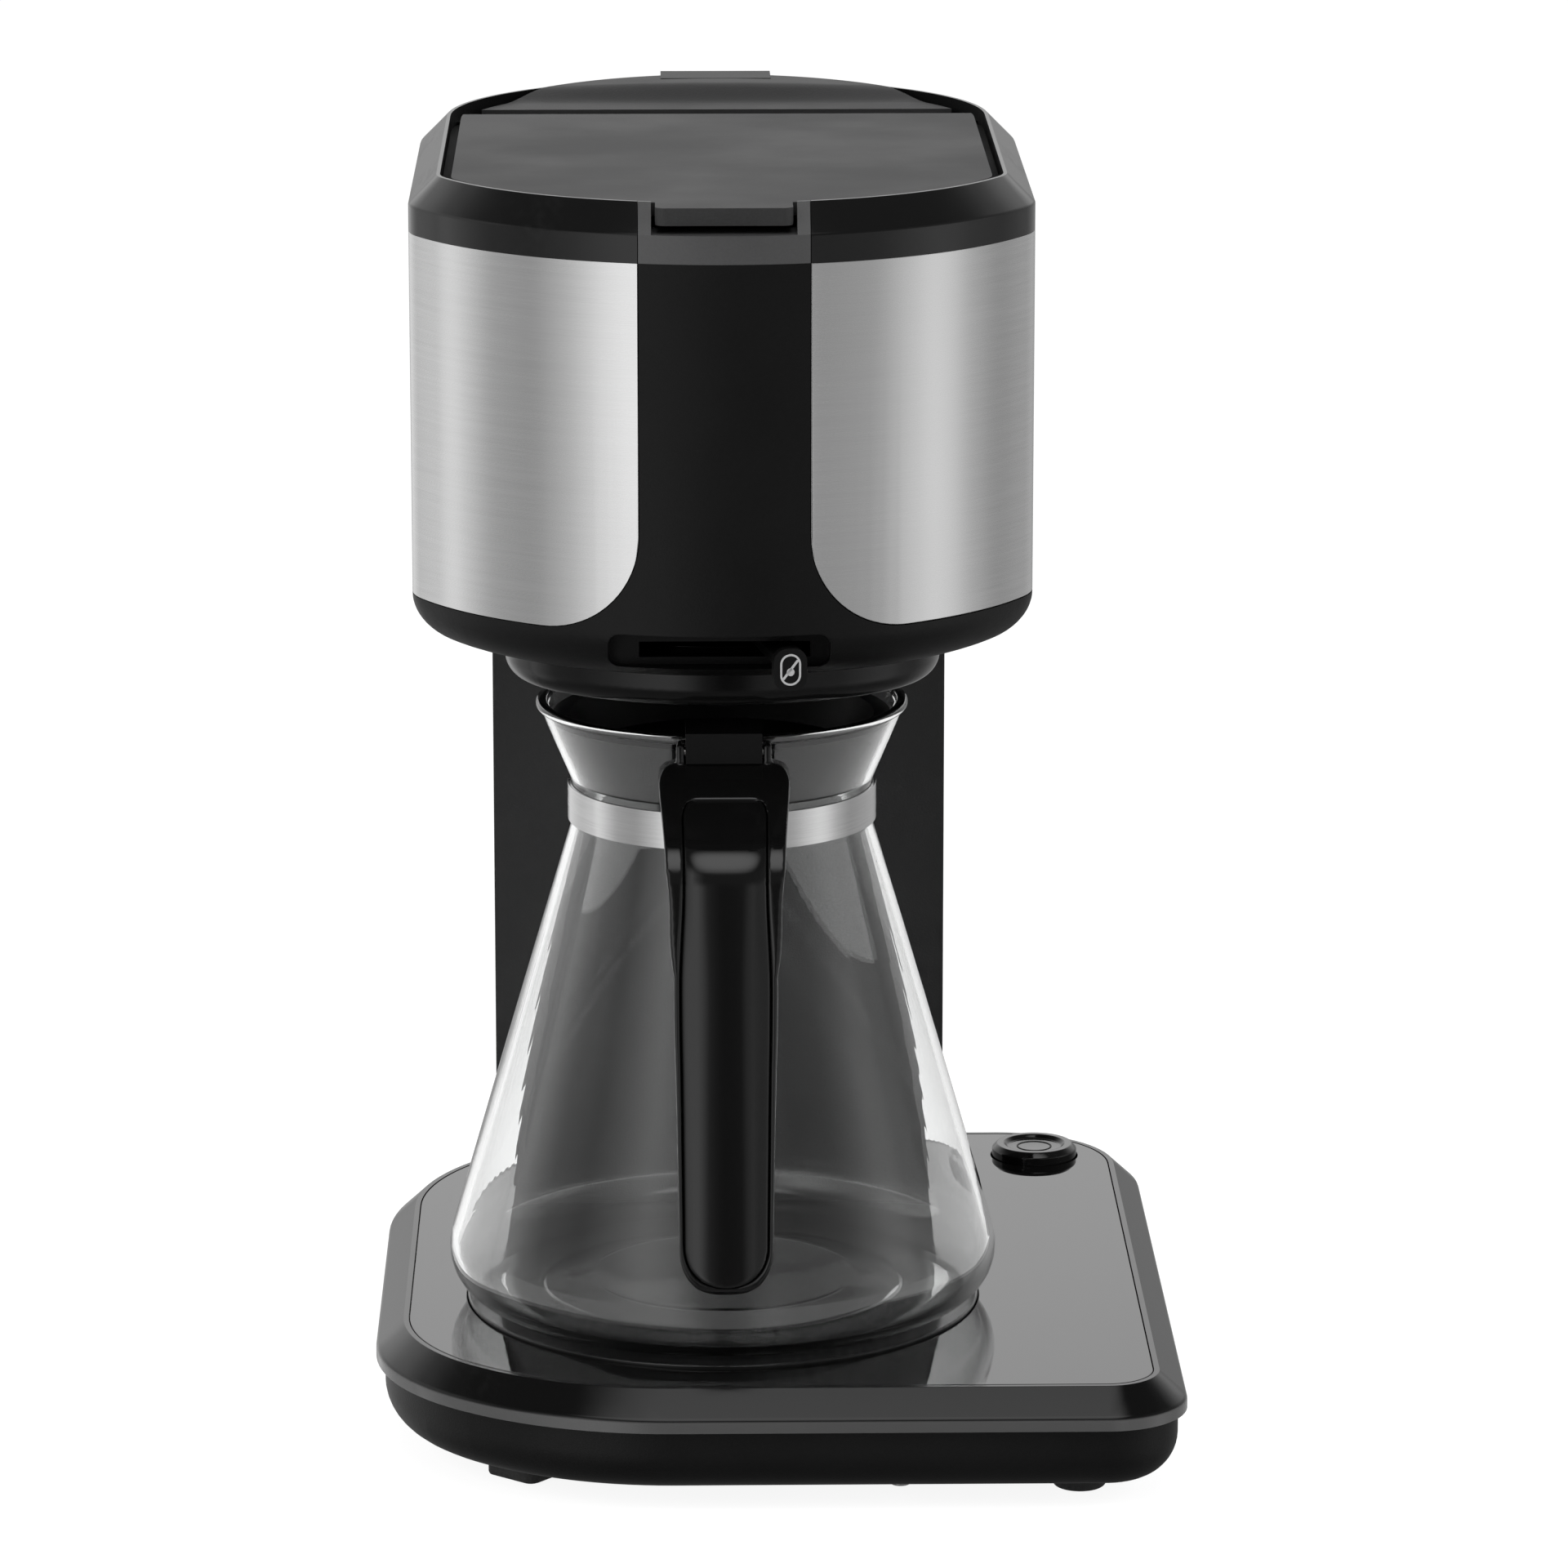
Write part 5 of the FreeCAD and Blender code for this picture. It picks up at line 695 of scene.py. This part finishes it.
def make_moulding(node, name, voxel, crown):
    """A piece of the handle as a soft moulding: meshed finely, with every edge rubbed round."""
    piece = merged_copy(node, name)
    apply_modifier(piece, "fine_mesh", "REMESH", mode="VOXEL", voxel_size=voxel)
    cage = handle_cage(crown)
    apply_modifier(piece, "taper", "LATTICE", object=cage)
    bpy.data.objects.remove(cage)
    apply_modifier(piece, "rubbed_edges", "SMOOTH", factor=0.5, iterations=8)
    smooth(piece, SOFT_ANGLE)
    settle(piece, "carafe", "gloss_black", node)


# Small details

# Places of the screws' heads, and the turns of their shanks
BASE_SCREWS = [(-0.0911, 0.003, 0.0055), (0.0911, 0.003, 0.0055),
               (0.032, 0.1116, 0.0055), (0.032, -0.1116, 0.0055)]
TOWER_SCREWS = [(-0.014, 0.1039, 0.0615), (-0.014, 0.1039, 0.2006)]
SHANK_UP, SHANK_FORWARD = (0, 0, 0), (math.radians(90), 0, 0)
# The middle of the lever's pad, seen from the brew axis before the lever is turned
PAD_MIDDLE = (0, -0.0923, 0.22765)


def make_cross_screw():
    """One pan head screw with a cross recess, head down at the origin and shank up."""
    profile = [(0, -1.2), (3, -1.2, 0.75), (3, 0), (1.45, 0), (1.45, 12.5), (0, 14)]
    screw = turned("cross_screw", in_metres(profile), Vector((0, 0, 0)), steps=24)
    length, width, depth, head_face = 0.0036, 0.0008, 0.0014, (0, 0, -0.0012)
    bars = [start_block("recess_bar", size, head_face)
            for size in ((length, width, depth), (width, length, depth))]
    for bar in bars:
        apply_modifier(screw, "recess", "BOOLEAN", operation="DIFFERENCE", object=bar)
        bpy.data.objects.remove(bar)
    edit(screw)
    bpy.ops.mesh.dissolve_degenerate(threshold=SAME_PLACE)
    close_up()
    done()
    smooth(screw, angle=35)
    return screw


def make_screws(node, places, turn):
    """Screws at the heads' places, which stand for a CAD group of screws."""
    screws = []
    for place in places:
        screw = make_cross_screw()
        screw.rotation_euler = turn
        screw.location = place
        bake_place(screw)
        screws.append(screw)
    piece = joined(screws)
    piece.name = f"{node}_crossed"
    settle(piece, "machine", "pin_steel", node)


def make_drip_mark():
    """The sign on the lever's pad: a drop in a rounded ring with a stroke across it."""
    middle = (0, 0, 0)
    ring_width, ring_height, ring_rounding, ring_line = 0.0054, 0.0082, 0.00268, 0.0005
    ring = start_plane("drip_mark", ring_width, ring_height, middle)
    edit(ring)
    bpy.ops.mesh.bevel(offset=ring_rounding, affect="VERTICES", segments=12)
    bpy.ops.mesh.select_all(action="SELECT")
    bpy.ops.mesh.inset(thickness=ring_line)
    bpy.ops.mesh.delete(type="FACE")
    done()
    clear_selection()
    bpy.ops.mesh.primitive_circle_add(
        vertices=28, radius=0.001, fill_type="NGON", location=(0, -0.0006, 0))
    drop = bpy.context.object
    bake_place(drop)
    edit(drop)
    # The drop's point is drawn out in two steps: what lies above a height is narrowed and raised
    for height, narrowing, rise in ((0.00055, 0.3, 0.0009), (0.00148, 0.2, 0.0004)):
        pick(drop, lambda point: point.co.y > height)
        bpy.ops.transform.resize(value=(narrowing, 1, 1), center_override=middle)
        bpy.ops.transform.translate(value=(0, rise, 0))
    done()
    stroke_width, stroke_length, stroke_slant = 0.0006, 0.0062, math.radians(38)
    stroke = start_plane("stroke", stroke_width, stroke_length, middle)
    edit(stroke)
    bpy.ops.transform.rotate(value=stroke_slant, orient_axis="Z", center_override=middle)
    done()
    mark = joined([ring, drop, stroke])
    apply_modifier(mark, "print_thickness", "SOLIDIFY", thickness=0.0002, offset=1)
    mark.rotation_euler = (math.radians(90), 0, 0)
    bake_place(mark)
    mark.location = PAD_MIDDLE
    bake_place(mark)
    mark.rotation_euler = (0, 0, LEVER_ANGLE)
    mark.location = BREW_AXIS
    bake_place(mark)
    settle(mark, "drip_lever", "silicone", finish="pale_mark")


def make_button_ring():
    """The thin raised ring on the button's face."""
    profile = [(4.6, 36.3), (4.6, 36.66, 0.12), (5.1, 36.66, 0.12), (5.1, 36.3), (4.6, 36.3)]
    ring = turned("button_ring", in_metres(profile), BUTTON_AXIS, steps=64)
    smooth(ring, SHADE_ANGLE)
    settle(ring, "power_button", "charcoal")


def make_basket_ribs():
    """Ribs up the wall and over the floor of the filter holder, which keep the paper off it."""
    wall_size, wall_place, wall_lean = (0.0018, 0.0012, 0.07), Vector((0.0562, 0, 0.276)), 0.0089
    floor_size, floor_place = (0.03, 0.0012, 0.0016), Vector((0.037, 0, 0.2362))
    wall_count, floor_count, softening = 20, 10, 0.0004
    rib = start_block("basket_ribs", wall_size, BREW_AXIS + wall_place)
    edit(rib)
    pick(rib, lambda point: point.co.z > wall_place.z)
    bpy.ops.transform.translate(value=(wall_lean, 0, 0))
    bpy.ops.mesh.select_all(action="SELECT")
    bpy.ops.mesh.bevel(offset=softening, segments=2)
    done()
    walls = copies(rib, wall_count, BREW_AXIS)
    spoke = start_block("floor_rib", floor_size, BREW_AXIS + floor_place)
    edit(spoke)
    bpy.ops.mesh.bevel(offset=softening, segments=2)
    done()
    ribs = joined([walls, copies(spoke, floor_count, BREW_AXIS)])
    smooth(ribs, SHADE_ANGLE)
    settle(ribs, "machine", "matte_black")


def make_tank_marks():
    """Level lines on the tank's back wall, long and short in turn."""
    inner, outer, lowest, spacing, height = 73.2, 74, 256, 14, 1
    long_line, short_line = (16, 98), (9, 101.5)
    lines = []
    for step in range(5):
        low = lowest + spacing * step
        high = low + height
        span, start = map(math.radians, short_line if step % 2 else long_line)
        profile = [(inner, low), (outer, low), (outer, high), (inner, high), (inner, low)]
        line = turned("tank_marks", in_metres(profile), TANK_AXIS, steps=10, angle=span)
        edit(line)
        bpy.ops.mesh.fill_holes(sides=4)
        close_up()
        done()
        line.location = TANK_AXIS
        line.data.transform(Matrix.Translation(-TANK_AXIS))
        line.rotation_euler = (0, 0, start)
        bake_place(line)
        lines.append(line)
    marks = joined(lines)
    smooth(marks, SHADE_ANGLE)
    settle(marks, "machine", "silicone", finish="pale_mark")


make_blown_glass()
make_moulding("carafe_handle", "soft_handle", voxel=0.0006, crown=NO_CROWN)
make_moulding("handle_grip", "crowned_inlay", voxel=0.0005, crown=INLAY_CROWN)
make_screws("base_screws", BASE_SCREWS, SHANK_UP)
make_screws("tower_screws", TOWER_SCREWS, SHANK_FORWARD)
make_drip_mark()
make_button_ring()
make_basket_ribs()
make_tank_marks()


# Stage, light and camera

# The floor: the length of its sides, its grey, and the strength and share of its glow
FLOOR_SIZE, FLOOR_GREY, FLOOR_GLOW, FLOOR_GLOW_SHARE = 12, 0.9, 1.2, 0.75


def ray_kinds(finish):
    """1 or 0 for a ray of the camera, a mirrored ray, a ray in glass, and one not yet mirrored."""
    path = "ShaderNodeLightPath"
    names = ("Camera", "Glossy", "Transmission")
    kinds = [finish.node(path, output=f"Is {name} Ray") for name in names]
    straight = 1 - finish.steps(finish.node(path, output="Glossy Depth"), 0, 1)
    return (*kinds, straight)


def make_floor():
    """A pale floor that mostly glows where it is seen, so that it is white with soft shadows."""
    floor = start_plane("floor", FLOOR_SIZE, FLOOR_SIZE, (0, 0, 0))
    material = bpy.data.materials.new("pale_floor")
    material.use_nodes = True
    finish = Finish(material.node_tree)
    seen, mirrored, through, straight = ray_kinds(finish)
    share = finish.steps(seen + mirrored + through * straight, 0, 1, 0, FLOOR_GLOW_SHARE)
    diffuse = finish.node("ShaderNodeBsdfDiffuse", sockets={"Color": grey(FLOOR_GREY)})
    glow = finish.node("ShaderNodeEmission", sockets={"Color": grey(1), "Strength": FLOOR_GLOW})
    shader = finish.node("ShaderNodeMixShader", sockets={0: share, 1: diffuse, 2: glow})
    finish.node("ShaderNodeOutputMaterial", sockets={"Surface": shader})
    floor.data.materials.append(material)
    floor.visible_glossy = False


# What shiny pieces see round the studio, at eye level and higher up: degrees to the right of the
# camera, and brightness
EYE_LEVEL = [
    (-180, 0.45), (-168, 0.45), (-158, 0.9), (-130, 0.7), (-115, 0.85), (-113.5, 0.6), (-112, 0.95),
    (-107, 1.15), (-99, 0.9), (-86, 0.5), (-68, 0.42), (-53, 0.72), (-41, 1.15), (-31, 1.4),
    (-22, 1.4), (-15, 0.9), (-9, 0.3), (0, 0.04), (9, 0.1), (15, 0.45), (22, 0.6), (32, 0.44),
    (54, 0.52), (64, 0.8), (77, 1.1), (86, 0.95), (93, 0.65), (109, 0.38), (125, 0.45), (150, 0.5),
    (165, 0.35), (180, 0.45),
]
HIGHER = [
    (-180, 1.4), (-140, 1), (-110, 0.8), (-90, 0.7), (-65, 0.3), (-50, 0.8), (-36, 1.3), (-24, 0.7),
    (-12, 0.15), (0, 0.12), (35, 0.16), (70, 0.25), (110, 0.3), (140, 1), (180, 1.4),
]
# A level above all of these, so that the ramps' colours stay below 1
BRIGHTEST = 1.5
# How far up or down a direction points where one part of the studio fades into the next
RISE, OVERHEAD, BELOW = (0.02, 0.3), (0.4, 0.75), (0.35, 0.7)
OVERHEAD_LEVEL, BELOW_LEVEL, DULL_LIGHT = 0.1, 0.2, 0.45
# A soft lamp up in front that only shiny pieces see: its direction, where it fades, and its level
GLOW_UP, GLOW_FORWARD, GLOW_FADE, GLOW_LEVEL = 0.866, 0.5, (0.86, 1), 2.4


def make_world():
    """White for the camera and straight through glass, panels for shiny pieces, else plain grey."""
    world = bpy.data.worlds.new("studio")
    bpy.context.scene.world = world
    world.use_nodes = True
    finish = Finish(world.node_tree)
    seen, mirrored, through, straight = ray_kinds(finish)
    way = finish.node("ShaderNodeTexCoord", output="Generated")
    across, behind, up = [
        finish.node("ShaderNodeSeparateXYZ", sockets={"Vector": way}, output=axis) for axis in "XYZ"]
    turn = across.maths("ARCTAN2", across, 0 - behind) / math.tau + 0.5

    def ring(panels):
        """The brightness of a ring of panels in the direction looked in."""
        stops = [(angle / 360 + 0.5, grey(level / BRIGHTEST)) for angle, level in panels]
        return finish.node("ShaderNodeValToRGB", {"stops": stops}, {"Fac": turn}) * BRIGHTEST

    rise = finish.steps(up, *RISE)
    overhead = finish.steps(up, *OVERHEAD)
    below = finish.steps(0 - up, *BELOW)
    front_glow = finish.steps(up * GLOW_UP - behind * GLOW_FORWARD, *GLOW_FADE)
    room = ring(EYE_LEVEL) * (1 - rise) + ring(HIGHER) * rise
    room = room * (1 - overhead) + overhead * OVERHEAD_LEVEL
    room = room * (1 - below) + below * BELOW_LEVEL
    room = room + front_glow * GLOW_LEVEL
    white = seen + through * straight
    shiny = finish.steps(mirrored + through, 0, 1)
    strength = white + (1 - white) * (shiny * room + (1 - shiny) * DULL_LIGHT)
    light = finish.node("ShaderNodeBackground", sockets={"Color": grey(1), "Strength": strength})
    finish.node("ShaderNodeOutputWorld", sockets={"Surface": light})


# Soft boxes: place, aim, size and power in watts
MACHINE_MIDDLE = (0, 0, 0.2)
LAMPS = {
    "left_box": ((-1.3, -0.7, 0.7), MACHINE_MIDDLE, (0.5, 1.4), 14),
    "right_box": ((1.4, -0.6, 0.7), MACHINE_MIDDLE, (0.5, 1.4), 14),
    "top_box": ((0, 0.2, 1.7), MACHINE_MIDDLE, (1.2, 1.0), 12),
    "front_box": ((0.1, -0.7, 1.25), (0.1, -0.7, 0), (0.9, 0.7), 2),
}


def make_lamp(name, place, aim, size, power):
    """A soft box that lights the pieces and is not seen in them."""
    data = bpy.data.lights.new(name, "AREA")
    data.shape = "RECTANGLE"
    data.size, data.size_y = size
    data.energy = power
    lamp = bpy.data.objects.new(name, data)
    bpy.context.scene.collection.objects.link(lamp)
    lamp.location = place
    lamp.rotation_euler = (Vector(aim) - Vector(place)).to_track_quat("-Z", "Y").to_euler()
    lamp.visible_glossy = False
    lamp.visible_transmission = False


# The photograph's camera: its place, its lens and sensor in mm, and its tilt and turn in degrees
CAMERA_PLACE = (-0.0335, -1.959, 0.629)
CAMERA_LENS, CAMERA_SENSOR = 168.75, 36
CAMERA_DOWN, CAMERA_TURN = 13.24, -1.078
FARTHEST_SEEN = 50


def make_camera():
    """A long lens in front of the machine and above it."""
    data = bpy.data.cameras.new("camera")
    data.sensor_width = CAMERA_SENSOR
    data.lens = CAMERA_LENS
    data.clip_end = FARTHEST_SEEN
    camera = bpy.data.objects.new("camera", data)
    bpy.context.scene.collection.objects.link(camera)
    camera.location = CAMERA_PLACE
    camera.rotation_euler = (math.radians(90 - CAMERA_DOWN), 0, math.radians(CAMERA_TURN))
    bpy.context.scene.camera = camera


make_floor()
make_world()
for name, settings in LAMPS.items():
    make_lamp(name, *settings)
make_camera()
bpy.context.scene.view_settings.view_transform = "Standard"
